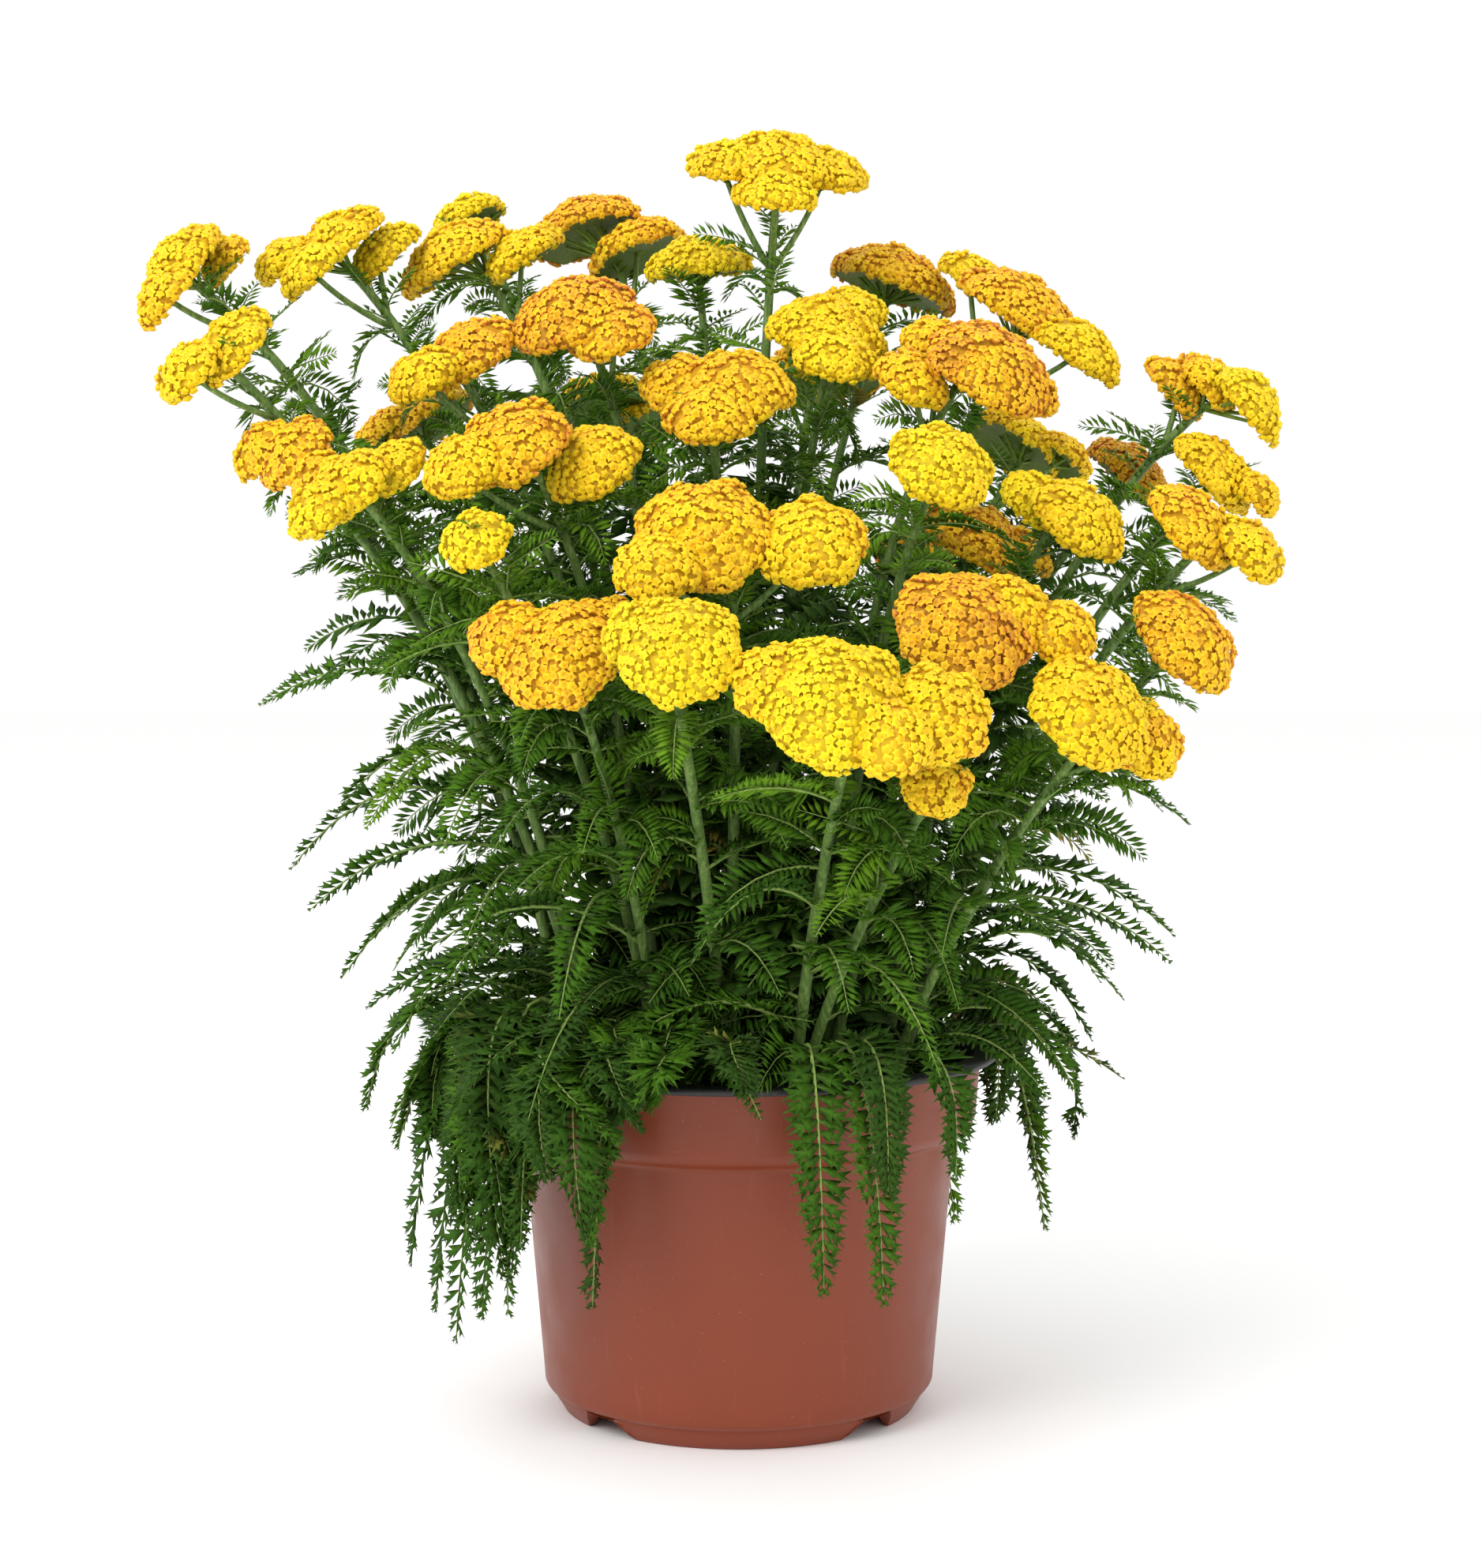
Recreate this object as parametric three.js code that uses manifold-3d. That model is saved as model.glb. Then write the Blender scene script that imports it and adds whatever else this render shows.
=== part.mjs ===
// A yarrow plant in its nursery pot: the pot, the soil, leafy stalks growing in clumps, and their flower heads.
// Millimetres, +Z up. The plant is laid out round the pot's axis, with -Y its front.
import * as THREE from "three";
import { mergeVertices } from "three/addons/utils/BufferGeometryUtils.js";
import Module from "manifold-3d";

const wasm = await Module();
wasm.setup();

// ---- Driving dimensions -------------------------------------------------------------------------------------

const potHeight = 159.4;
const lipRadius = 115;
const lipThickness = 3.2;
const collarRadius = 106.4;
const collarFootRadius = 104.5;
const collarFootHeight = 130;
const bodyTopRadius = 95.4;
const bodyTopHeight = 122.7;
const bodyFootRadius = 85.8;
const footHeight = 11;
const footRadius = 78;
const potWall = 1.5;
const floorThickness = 2.4;
const potSides = 24;
const notchHalfWidth = 14.3; // of the notches between the pot's feet, on the ground, and narrower above
const notchSlope = 6.5; // how much narrower they are at their top
const notchHeight = 9;
const notchReach = 16; // how far in and out of the foot ring they cut
const drainHoleRadius = 6;
const drainHoleRing = 52;

const soilRise = 126; // the soil's height at the middle of the pot
const soilEdgeHeight = 117;
const holeDepth = 14;
const crownRadius = 8;
const crownSides = 5;
const gap = 0.3; // between pieces that touch

const stalkFootRadius = 3.1;
const stalkTopRadius = 2.1;
const stalkSides = 5;
const stalkSteps = 5;
const branchRadius = 1.4;
const branchReach = 36; // how far under its head a side branch leaves the stalk
const leastBranched = 14; // side domes smaller than this share their neighbour's branch

const domeRise = 0.48; // a dome's height as a share of its radius
const headSpread = 1.08; // a head's mean reach, as a share of its domes' radii taken together
const headDepth = 0.28; // how far a head's root lies under it, as a share of its reach
const thinnestHead = 3.5;
const floretSpacing = 7.6; // between neighbouring points of a dome's lattice
const floretRise = 2.9;
const floretSink = 1.2;
const leanReach = 200; // how far out a head leans by 45 degrees
const leanCentre = 80; // heads lean away from this place behind the pot's axis

const overLip = 13; // how high the rib of a hanging leaf passes over the pot's lip
const ribHalfWidth = 1.3;
const ribRise = 1.5;
const cutDepth = 0.34; // how near to the rib the cuts between leaflets reach, as a share of the half width
const leafletSpacing = 23;
const mostTwist = 1; // how far a leaf may turn about its own rib by its tip

const beadSpacing = 4.5; // the beads that stand for pieces where leaves are laid out clear of them
const stalkBead = 3.8;
const headBead = 5.5;
const ribBead = 3.4;
const leafletBead = 3;
const leafFacing = 0.63; // how squarely a stalk's side must face the leaf that grows there
const branchFacing = 0.35;
const rootReach = 16; // a leaf may come this near to its own stalk and branches at its root

// ---- The plant's layout -------------------------------------------------------------------------------------

// One clump for each crown. "head" is a stalk's main dome as x, y, z and radius, with z at its rim, and "sides"
// are the smaller domes that join it.
const clumps = [
  {
    crown: [6, 30],
    stalks: [
      { head: [16, 30, 548, 26], sides: [[-5, 21, 547, 16], [37, 38, 545, 19], [16, 8, 533, 17]] },
      { head: [-19, 70, 508, 22], sides: [] },
      { head: [72, 90, 502, 28], sides: [] },
    ],
  },
  {
    crown: [-28, 44],
    stalks: [
      { head: [-74, 130, 530, 25], sides: [[-48, 120, 520, 22]] },
      { head: [-130, 125, 534, 17], sides: [] },
    ],
  },
  {
    crown: [-46, 12],
    stalks: [
      { head: [-130, 60, 510, 25], sides: [[-98, 52, 511, 17]] },
      { head: [-179, 30, 512, 22], sides: [[-160, 42, 510, 16], [-188, 8, 500, 14], [-203, 26, 506, 12]] },
    ],
  },
  {
    crown: [-66, -12],
    stalks: [
      { head: [-242, -6, 500, 20], sides: [[-246, -24, 486, 15], [-226, 10, 504, 11]] },
      { head: [-214, -44, 463, 18], sides: [[-230, -58, 452, 14]] },
    ],
  },
  {
    crown: [-26, -10],
    stalks: [
      { head: [-72, -20, 478, 25], sides: [[-54, -34, 470, 17]] },
      { head: [-116, -22, 462, 20], sides: [[-134, -38, 452, 15]] },
    ],
  },
  {
    crown: [-56, -36],
    stalks: [
      { head: [-186, -60, 418, 16], sides: [[-200, -52, 420, 13], [-176, -74, 409, 10]] },
      { head: [-159, -96, 404, 16], sides: [[-170, -108, 394, 12], [-142, -82, 412, 12]] },
    ],
  },
  {
    crown: [6, -14],
    stalks: [
      { head: [-2, -44, 446, 23], sides: [[-23, -34, 448, 17], [-12, -64, 434, 17]] },
      { head: [38, 0, 473, 24], sides: [[42, -22, 460, 17], [50, 14, 484, 13]] },
    ],
  },
  {
    crown: [-30, -46],
    stalks: [
      { head: [-93, -88, 421, 22], sides: [[-112, -98, 412, 15], [-62, -74, 414, 19]] },
      { head: [-104, -134, 382, 12], sides: [] },
      { head: [-70, -152, 337, 23], sides: [[-90, -142, 344, 15], [-54, -136, 346, 15]] },
    ],
  },
  {
    crown: [-4, -42],
    stalks: [
      { head: [-14, -122, 384, 27], sides: [[-32, -144, 371, 15], [28, -122, 381, 21]] },
      { head: [-22, -188, 340, 22], sides: [[-36, -178, 346, 14]] },
    ],
  },
  {
    crown: [22, -60],
    stalks: [
      { head: [36, -200, 321, 27], sides: [[14, -196, 328, 15], [56, -210, 309, 15], [74, -194, 316, 19]] },
      { head: [76, -166, 288, 12], sides: [] },
    ],
  },
  {
    crown: [36, -36],
    stalks: [
      { head: [88, -140, 347, 26], sides: [[109, -128, 354, 15], [128, -128, 346, 13]] },
      { head: [82, -104, 412, 20], sides: [] },
    ],
  },
  {
    crown: [60, -38],
    stalks: [
      { head: [138, -150, 315, 24], sides: [[160, -134, 304, 16]] },
      { head: [184, -84, 341, 23], sides: [] },
    ],
  },
  {
    crown: [62, -10],
    stalks: [
      { head: [143, -60, 391, 20], sides: [[126, -48, 399, 14]] },
      { head: [192, -48, 388, 20], sides: [[216, -52, 378, 15]] },
    ],
  },
  {
    crown: [36, 4],
    stalks: [
      { head: [108, -32, 454, 28], sides: [[74, -40, 450, 15], [88, -16, 464, 17]] },
      { head: [105, 14, 383, 24], sides: [[126, 24, 378, 14]] },
    ],
  },
  {
    crown: [70, 18],
    stalks: [
      { head: [226, 14, 442, 19], sides: [[196, 32, 450, 15], [210, 26, 452, 14]] },
      { head: [208, 2, 412, 20], sides: [[226, -10, 403, 10]] },
    ],
  },
  {
    crown: [42, 34],
    stalks: [
      { head: [126, 44, 485, 28], sides: [[150, 26, 466, 21], [108, 68, 502, 15]] },
      { head: [180, 66, 412, 21], sides: [] },
    ],
  },
  {
    crown: [-14, 66],
    stalks: [
      { head: [-70, 190, 450, 23], sides: [[-50, 204, 442, 16]] },
      { head: [-150, 130, 440, 22], sides: [[-168, 118, 434, 15]] },
      { head: [-20, 232, 362, 22], sides: [] },
    ],
  },
  {
    crown: [30, 64],
    stalks: [
      { head: [46, 176, 470, 25], sides: [[24, 186, 462, 17]] },
      { head: [136, 160, 430, 23], sides: [[156, 148, 424, 15]] },
      { head: [92, 214, 372, 21], sides: [] },
    ],
  },
];

// Long basal leaves that hang over the pot's lip: the stalk each grows from, counted from 0, and its tip.
const hangingLeaves = [
  [20, [43, -132, 73]],
  [21, [66, -128, 76]],
  [19, [-34, -130, 112]],
  [17, [-62, -126, 84]],
  [16, [-108, -122, 60]],
  [23, [88, -112, 124]],
  [25, [130, -70, 122]],
  [12, [-140, -84, 120]],
  [8, [-170, -34, 140]],
  [31, [168, 10, 120]],
  [35, [-120, 96, 110]],
  [36, [-30, 150, 96]],
  [39, [62, 142, 90]],
  [33, [140, 70, 112]],
];
const hangingUp = 0.06;

// Rounds of stalk leaves: place up the stalk, length, how far from straight outwards, and the rib's two slopes.
const leafRounds = [
  { up: 0.12, length: 130, spread: 0.8, slope: 0.7, droop: -0.9 },
  { up: 0.24, length: 120, spread: 1.0, slope: 0.5, droop: -1.0 },
  { up: 0.36, length: 108, spread: 1.4, slope: 0.6, droop: -0.9 },
  { up: 0.5, length: 92, spread: 1.8, slope: 0.6, droop: -0.7 },
  { up: 0.62, length: 78, spread: 2.2, slope: 0.5, droop: -0.6 },
  { up: 0.75, length: 64, spread: 2.6, slope: 0.6, droop: -0.4 },
  { up: 0.18, length: 104, spread: 2.6, slope: 0.6, droop: -0.8 },
];
const turnsTried = [0, 0.4, -0.4, 0.8, -0.8, 1.2, -1.2, 1.6, -1.6]; // until a leaf is clear of what is there

// ---- Solids -------------------------------------------------------------------------------------------------

const point = (x, y, z) => new THREE.Vector3(x, y, z);

// A closed geometry as a solid that can be joined and cut.
function solidOf(geometry) {
  geometry.deleteAttribute("normal");
  geometry.deleteAttribute("uv");
  const merged = mergeVertices(geometry, 1e-3);
  return new wasm.Manifold(
    new wasm.Mesh({
      numProp: 3,
      vertProperties: merged.attributes.position.array,
      triVerts: new Uint32Array(merged.index.array),
    }),
  );
}

function geometryOf(solid) {
  const mesh = solid.getMesh();
  return new THREE.BufferGeometry()
    .setAttribute("position", new THREE.BufferAttribute(mesh.vertProperties, 3))
    .setIndex(new THREE.BufferAttribute(mesh.triVerts, 1));
}

// A surface given by its corners and its triangles.
function surface(corners, triangles) {
  return new THREE.BufferGeometry()
    .setAttribute("position", new THREE.Float32BufferAttribute(corners.flatMap((c) => c.toArray()), 3))
    .setIndex(triangles.flat());
}

// Turns a profile of radius and height round the upright axis.
function turned(profile, sides) {
  const points = profile.map(([radius, height]) => new THREE.Vector2(radius, height));
  return new THREE.LatheGeometry(points, sides).rotateX(Math.PI / 2);
}

// ---- Clearance between pieces -------------------------------------------------------------------------------

// Stalks, domes and leaves each leave a trail of beads, and a new leaf is kept only where its beads are clear.
const beads = [];

function addBeads(points, radius, clump) {
  points.forEach((p) => beads.push({ x: p.x, y: p.y, z: p.z, radius, clump }));
}

// Near its root, a leaf may touch the stalks of its own clump, which it is one piece with. Leaves touch nothing
// else, so their beads belong to no clump.
function isClear(trail, clump) {
  return trail.every(({ place, radius, nearRoot }) => {
    const out = Math.hypot(place.x, place.y);
    const overSoil = out < collarFootRadius - 6;
    const floor = overSoil ? soilRise + 4 : out < lipRadius + 4 ? potHeight + 4 : 5;
    if (place.z < floor) return false;
    return !beads.some((bead) => {
      if (nearRoot && bead.clump === clump) return false;
      const reach = radius + bead.radius;
      const dx = place.x - bead.x;
      const dy = place.y - bead.y;
      const dz = place.z - bead.z;
      return dx * dx + dy * dy + dz * dz < reach * reach;
    });
  });
}

// ---- Pot and soil -------------------------------------------------------------------------------------------

// The wedge cut out of the foot ring between two feet, long in x, with its wide side down.
function notchGeometry() {
  const side = new THREE.Shape([
    new THREE.Vector2(-notchHalfWidth - notchSlope, -notchHeight),
    new THREE.Vector2(notchHalfWidth + notchSlope, -notchHeight),
    new THREE.Vector2(notchHalfWidth - notchSlope, notchHeight),
    new THREE.Vector2(notchSlope - notchHalfWidth, notchHeight),
  ]);
  return new THREE.ExtrudeGeometry(side, { depth: notchReach * 2, bevelEnabled: false })
    .rotateX(Math.PI / 2)
    .rotateZ(Math.PI / 2)
    .translate(-notchReach, 0, 0);
}

function makePot() {
  let pot = solidOf(
    turned(
      [
        [0, footHeight - floorThickness / 2],
        [footRadius - 2, footHeight - floorThickness / 2],
        [footRadius - 3.5, 0],
        [footRadius, 0],
        [bodyFootRadius, footHeight],
        [bodyTopRadius, bodyTopHeight],
        [(bodyTopRadius + collarFootRadius) / 2 + 1.4, (bodyTopHeight + collarFootHeight) / 2 - 1.2],
        [collarFootRadius, collarFootHeight],
        [collarRadius, potHeight - lipThickness],
        [lipRadius - 0.4, potHeight - lipThickness],
        [lipRadius, potHeight - lipThickness / 2],
        [lipRadius - 1.2, potHeight],
        [collarRadius - 2.4, potHeight],
        [collarFootRadius - potWall, collarFootHeight + 1],
        [bodyTopRadius - potWall, bodyTopHeight],
        [bodyFootRadius - potWall, footHeight + floorThickness / 2],
        [0, footHeight + floorThickness / 2],
      ],
      potSides,
    ),
  );
  for (let quarter = 0; quarter < 4; quarter++) {
    const notch = notchGeometry()
      .translate(footRadius, 0, 0)
      .rotateZ(((quarter + 0.5) * Math.PI) / 2);
    pot = pot.subtract(solidOf(notch));
    const hole = new THREE.CylinderGeometry(drainHoleRadius, drainHoleRadius, 20, 8)
      .rotateX(Math.PI / 2)
      .translate(drainHoleRing, 0, footHeight)
      .rotateZ((quarter * Math.PI) / 2);
    pot = pot.subtract(solidOf(hole));
  }
  return pot;
}

function crownGeometry([x, y], radius, foot, top) {
  return new THREE.CylinderGeometry(radius * 0.85, radius, top - foot, crownSides)
    .rotateX(Math.PI / 2)
    .translate(x, y, (foot + top) / 2);
}

function makeSoil() {
  const wallRadius = (height) =>
    bodyFootRadius +
    ((bodyTopRadius - bodyFootRadius) * (height - footHeight)) / (bodyTopHeight - footHeight) -
    potWall -
    gap * 1.5;
  const foot = footHeight + floorThickness / 2 + gap;
  let soil = solidOf(
    turned(
      [
        [0, foot],
        [wallRadius(foot), foot],
        [wallRadius(soilEdgeHeight), soilEdgeHeight],
        [0, soilRise],
      ],
      potSides,
    ),
  );
  for (const { crown } of clumps) {
    const hole = crownGeometry(crown, crownRadius + gap, soilRise - holeDepth - gap, soilRise + 10);
    soil = soil.subtract(solidOf(hole));
  }
  return soil;
}

// ---- Flower heads -------------------------------------------------------------------------------------------

// The way a dome at a place faces: up, and away from the middle of the plant.
function facing([x, y]) {
  return point(x / leanReach, (y - leanCentre) / leanReach, 1).normalize();
}

// A head's own plane: its domes as places across, along and above it, seen from the middle of them all.
function headPlane(domes) {
  const axis = facing(domes[0]);
  const across = point(1, 0, 0).addScaledVector(axis, -axis.x).normalize();
  const along = axis.clone().cross(across);
  const total = domes.reduce((sum, [, , , radius]) => sum + radius ** 2, 0);
  const middle = point(0, 0, 0);
  domes.forEach(([x, y, z, radius]) => middle.addScaledVector(point(x, y, z), radius ** 2 / total));
  const spots = domes.map(([x, y, z, radius]) => {
    const apart = point(x, y, z).sub(middle);
    return { u: apart.dot(across), v: apart.dot(along), h: apart.dot(axis), radius };
  });
  const place = (u, v, h) =>
    middle.clone().addScaledVector(across, u).addScaledVector(along, v).addScaledVector(axis, h);
  const reach = Math.sqrt(total) * headSpread;
  return { axis, spots, place, reach, depth: reach * headDepth };
}

// How far the head reaches from its middle at an angle: to the far side of the furthest dome that way.
function outline({ spots, reach }, angle) {
  const exits = spots.map(({ u, v, radius }) => {
    const ahead = u * Math.cos(angle) + v * Math.sin(angle);
    const beside = radius ** 2 - (u ** 2 + v ** 2 - ahead ** 2);
    return beside < 0 ? 0 : ahead + Math.sqrt(beside);
  });
  return Math.max(reach * 0.62, ...exits);
}

// The top of the head over a point of its plane: the highest of its domes there.
function domeHeight({ spots }, u, v) {
  const heights = spots.map((spot) => {
    const out2 = ((u - spot.u) ** 2 + (v - spot.v) ** 2) / spot.radius ** 2;
    return spot.h + domeRise * spot.radius * (1 - out2);
  });
  return Math.max(...heights);
}

// The underside: a cone from the head's root to its edge.
function undersideHeight(plane, angle, share) {
  const edge = outline(plane, angle);
  const edgeHeight = domeHeight(plane, edge * Math.cos(angle), edge * Math.sin(angle));
  return -plane.depth * (1 - share) + edgeHeight * share;
}

// A head of florets: rings of a triangular lattice, on which every third point is a floret's raised middle.
function headGeometry(domes) {
  const plane = headPlane(domes);
  const rings = Math.max(2, Math.round(plane.reach / floretSpacing));
  const corners = [];
  const index = new Map();
  const keyOf = (q, r) => q + "," + r;
  for (let q = -rings; q <= rings; q++) {
    for (let r = Math.max(-rings, -q - rings); r <= Math.min(rings, rings - q); r++) {
      const share = Math.max(Math.abs(q), Math.abs(r), Math.abs(q + r)) / rings;
      const angle = Math.atan2((r * Math.sqrt(3)) / 2, q + r / 2);
      const isFloret = (q - r + 3 * rings) % 3 === 0;
      const lift = isFloret ? floretRise : -floretSink;
      const out = outline(plane, angle) * share;
      const [u, v] = [out * Math.cos(angle), out * Math.sin(angle)];
      const top = domeHeight(plane, u, v) + (share < 1 ? lift * (1.1 - 0.7 * share) : 0);
      const least = undersideHeight(plane, angle, share) + thinnestHead * (1 - share);
      const wider = 1 + (lift * share * 0.5) / out || 1;
      index.set(keyOf(q, r), corners.length);
      corners.push(plane.place(u * wider, v * wider, Math.max(top, least)));
    }
  }
  const triangles = [];
  for (let q = -rings; q <= rings; q++) {
    for (let r = -rings; r <= rings; r++) {
      const [here, right, upper, lower] = [[0, 0], [1, 0], [0, 1], [1, -1]].map(([dq, dr]) =>
        index.get(keyOf(q + dq, r + dr)),
      );
      if (here === undefined || right === undefined) continue;
      if (upper !== undefined) triangles.push([here, right, upper]);
      if (lower !== undefined) triangles.push([here, lower, right]);
    }
  }
  const root = corners.length;
  corners.push(plane.place(0, 0, -plane.depth));
  const steps = [[0, 1], [-1, 1], [-1, 0], [0, -1], [1, -1], [1, 0]];
  let [q, r] = [rings, -rings];
  steps.forEach(([dq, dr]) => {
    for (let step = 0; step < rings; step++) {
      const here = index.get(keyOf(q, r));
      q += dq;
      r += dr;
      triangles.push([index.get(keyOf(q, r)), here, root]);
    }
  });
  return surface(corners, triangles);
}

function addHeadBeads(domes) {
  const plane = headPlane(domes);
  for (let turn = 0; turn < 16; turn++) {
    const angle = (turn * Math.PI) / 8;
    for (const share of [0.15, 0.5, 0.9]) {
      const out = outline(plane, angle) * share;
      const [u, v] = [out * Math.cos(angle), out * Math.sin(angle)];
      const [top, foot] = [domeHeight(plane, u, v), undersideHeight(plane, angle, share)];
      addBeads([plane.place(u, v, top), plane.place(u, v, foot)], headBead);
    }
  }
}

// ---- Stalks -------------------------------------------------------------------------------------------------

function stalkCurve(crown, domes) {
  const plane = headPlane(domes);
  const foot = point(crown[0], crown[1], soilRise - 4);
  const top = plane.place(0, 0, -plane.depth - gap);
  const rise = top.z - foot.z;
  const lower = foot.clone().lerp(top, 0.12).setZ(foot.z + rise * 0.4);
  const upper = top.clone().addScaledVector(plane.axis, -rise * 0.3);
  return new THREE.CubicBezierCurve3(foot, lower, upper, top);
}

// A place on a stalk's own rod, which runs straight from step to step of its curve.
function onStalk(curve, share) {
  const step = Math.min(Math.floor(share * stalkSteps), stalkSteps - 1);
  const [here, next] = [step, step + 1].map((one) => curve.getPoint(one / stalkSteps));
  return here.lerp(next, share * stalkSteps - step);
}

// A stalk is a tapering rod in straight steps: rings of corners, and between them triangles, the "sites" on which
// leaves and branches can grow.
function makeRod(curve) {
  const corners = [];
  for (let i = 0; i <= stalkSteps; i++) {
    const share = i / stalkSteps;
    const ahead = curve.getTangent(share);
    const across = point(1, 0, 0).addScaledVector(ahead, -ahead.x).normalize();
    const aside = ahead.clone().cross(across);
    const radius = THREE.MathUtils.lerp(stalkFootRadius, stalkTopRadius, share);
    for (let j = 0; j < stalkSides; j++) {
      const angle = (2 * Math.PI * j) / stalkSides;
      const place = curve.getPoint(share).addScaledVector(across, radius * Math.cos(angle));
      corners.push(place.addScaledVector(aside, radius * Math.sin(angle)));
    }
  }
  const sites = [];
  const addSite = (step, half, ring) => {
    const [a, b, c] = ring.map((at) => corners[at]);
    const normal = b.clone().sub(a).cross(c.clone().sub(a)).normalize();
    sites.push({ step, half, ring, normal, free: true });
  };
  for (let i = 0; i < stalkSteps; i++) {
    for (let j = 0; j < stalkSides; j++) {
      const footLeft = i * stalkSides + j;
      const footRight = i * stalkSides + ((j + 1) % stalkSides);
      const [topLeft, topRight] = [footLeft + stalkSides, footRight + stalkSides];
      addSite(i, 0, [footLeft, footRight, topLeft]);
      addSite(i, 1, [footRight, topRight, topLeft]);
    }
  }
  return { corners, sites };
}

// Which step of its rod a place up a stalk lies on, how far up that step, and in which half of it.
function stepAt(up) {
  const step = Math.min(Math.floor(up * stalkSteps), stalkSteps - 1);
  const share = THREE.MathUtils.clamp(up * stalkSteps - step, 0.1, 0.9);
  return { step, share, half: share < 0.5 ? 0 : 1 };
}

// The site that best faces the way a sprout goes, if it is free and faces that way well enough.
function freeSite({ sites }, up, direction, leastFacing) {
  const { step, half } = stepAt(up);
  const around = sites.filter((site) => site.step === step && site.half === half);
  const facingOf = (site) => site.normal.dot(direction) / direction.length();
  const best = around.reduce((one, other) => (facingOf(other) > facingOf(one) ? other : one));
  return best.free && facingOf(best) > leastFacing ? best : undefined;
}

// The branches to a head's side domes: each leaves the stalk under the head, where a site is free, and ends under
// its dome.
function growBranches({ curve, rod, domes, sprouts }) {
  const plane = headPlane(domes);
  const branched = plane.spots.slice(1).filter(({ radius }) => radius >= leastBranched);
  return branched.flatMap(({ u, v }) => {
    const angle = Math.atan2(v, u);
    const share = Math.hypot(u, v) / outline(plane, angle);
    const top = plane.place(u, v, undersideHeight(plane, angle, share) - branchRadius);
    for (let reach = branchReach; reach < branchReach * 3; reach += branchReach / 4) {
      const up = 1 - reach / curve.getLength();
      const foot = onStalk(curve, up);
      const site = freeSite(rod, up, top.clone().sub(foot), branchFacing);
      if (!site) continue;
      site.free = false;
      sprouts.push({ up, site, grow: (...place) => growBranch(foot, top, ...place) });
      return [[foot, top]];
    }
    return [];
  });
}

// A branch grows from a section of three corners like a leaf's, and ends in a smaller one.
function growBranch(foot, top, root, corners, triangles) {
  const ahead = top.clone().sub(foot).normalize();
  const across = corners[root[0]].clone().sub(corners[root[1]]);
  const left = across.addScaledVector(ahead, -across.dot(ahead)).normalize();
  const face = ahead.clone().cross(left);
  const end = corners.length;
  for (const across of [branchRadius, -branchRadius]) {
    corners.push(top.clone().addScaledVector(left, across).addScaledVector(face, -branchRadius * 0.5));
  }
  corners.push(top.clone().addScaledVector(face, branchRadius));
  for (const [here, next] of [[0, 1], [1, 2], [2, 0]]) {
    triangles.push([root[here], end + next, root[next]], [root[here], end + here, end + next]);
  }
  triangles.push([end, end + 2, end + 1]);
}

function stalkGeometry({ rod, sprouts }) {
  const corners = [...rod.corners];
  const triangles = rod.sites.filter((site) => site.free).map((site) => site.ring);
  const last = stalkSteps * stalkSides;
  for (let j = 1; j < stalkSides - 1; j++) {
    triangles.push([0, j + 1, j], [last, last + j, last + j + 1]);
  }
  sprouts.forEach((sprout) => growFrom(sprout, corners, triangles));
  return surface(corners, triangles);
}

// Sets a sprout's three root corners into its site, and joins them to the site's own corners.
function growFrom({ up, site, grow }, corners, triangles) {
  const { share, half } = stepAt(up);
  const [a, b, c] = site.ring.map((at) => corners[at]);
  const [level, upright] = half ? [b.clone().sub(c), b.clone().sub(a)] : [b.clone().sub(a), c.clone().sub(a)];
  const width = level.length() * (half ? share : 1 - share);
  const start = half ? c.clone().addScaledVector(upright, share - 1) : a.clone().addScaledVector(upright, share);
  const side = level.clone().normalize();
  const middle = half
    ? a.clone().addScaledVector(upright, share).addScaledVector(side, -width / 2)
    : start.addScaledVector(side, width / 2);
  const reach = Math.min(width * 0.38, ribHalfWidth);
  const first = corners.length;
  corners.push(middle.clone().addScaledVector(side, -reach), middle.clone().addScaledVector(side, reach));
  corners.push(middle.clone().addScaledVector(upright.normalize(), ribRise));
  const [left, right, top] = [first, first + 1, first + 2];
  const [low, mid, high] = site.ring;
  if (half) {
    triangles.push([low, right, left], [low, mid, right], [mid, top, right]);
    triangles.push([mid, high, top], [high, left, top], [high, low, left]);
  } else {
    triangles.push([low, mid, right], [low, right, left], [mid, high, top]);
    triangles.push([mid, top, right], [high, low, left], [high, left, top]);
  }
  grow([right, left, top], corners, triangles);
}

// ---- Leaves -------------------------------------------------------------------------------------------------

// A leaf's rib is a curve from its root to its tip, bent over at its knee.
function freeLeaf({ root, heading, length, slope, droop }) {
  const level = point(Math.cos(heading), Math.sin(heading), 0);
  const step = (from, share, angle) =>
    from.clone().addScaledVector(level, length * share * Math.cos(angle)).add(
      point(0, 0, length * share * Math.sin(angle)),
    );
  const knee = step(root, 0.5, slope);
  return new THREE.QuadraticBezierCurve3(root, knee, step(knee, 0.58, droop));
}

// A long leaf from the crown that rises over the pot's lip and hangs down outside it.
function hangingLeaf(root, tip) {
  const kneeHeight = 2 * (potHeight + overLip) - (root.z + tip.z) / 2;
  const knee = point(tip.x * 1.05, tip.y * 1.05, kneeHeight);
  return new THREE.QuadraticBezierCurve3(root, knee, tip);
}

function leafFrame({ rib, twist }, share) {
  const place = rib.getPoint(share);
  const ahead = rib.getTangent(share);
  const left = point(-ahead.y, ahead.x, 0).normalize().applyAxisAngle(ahead, twist * share);
  return { place, ahead, left, face: ahead.clone().cross(left) };
}

// Half the leaf's width at a share of its length: broadest before the middle, narrow at both ends.
function leafHalfWidth(leaf, share) {
  const along = (share - leaf.bare) / (1 - leaf.bare);
  return leaf.halfWidth * Math.pow(Math.sin(Math.PI * Math.pow(along * 0.96 + 0.04, 0.75)), 0.7);
}

function leafletCount(leaf) {
  return Math.max(3, Math.round((leaf.length * (1 - leaf.bare)) / leafletSpacing));
}

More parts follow.
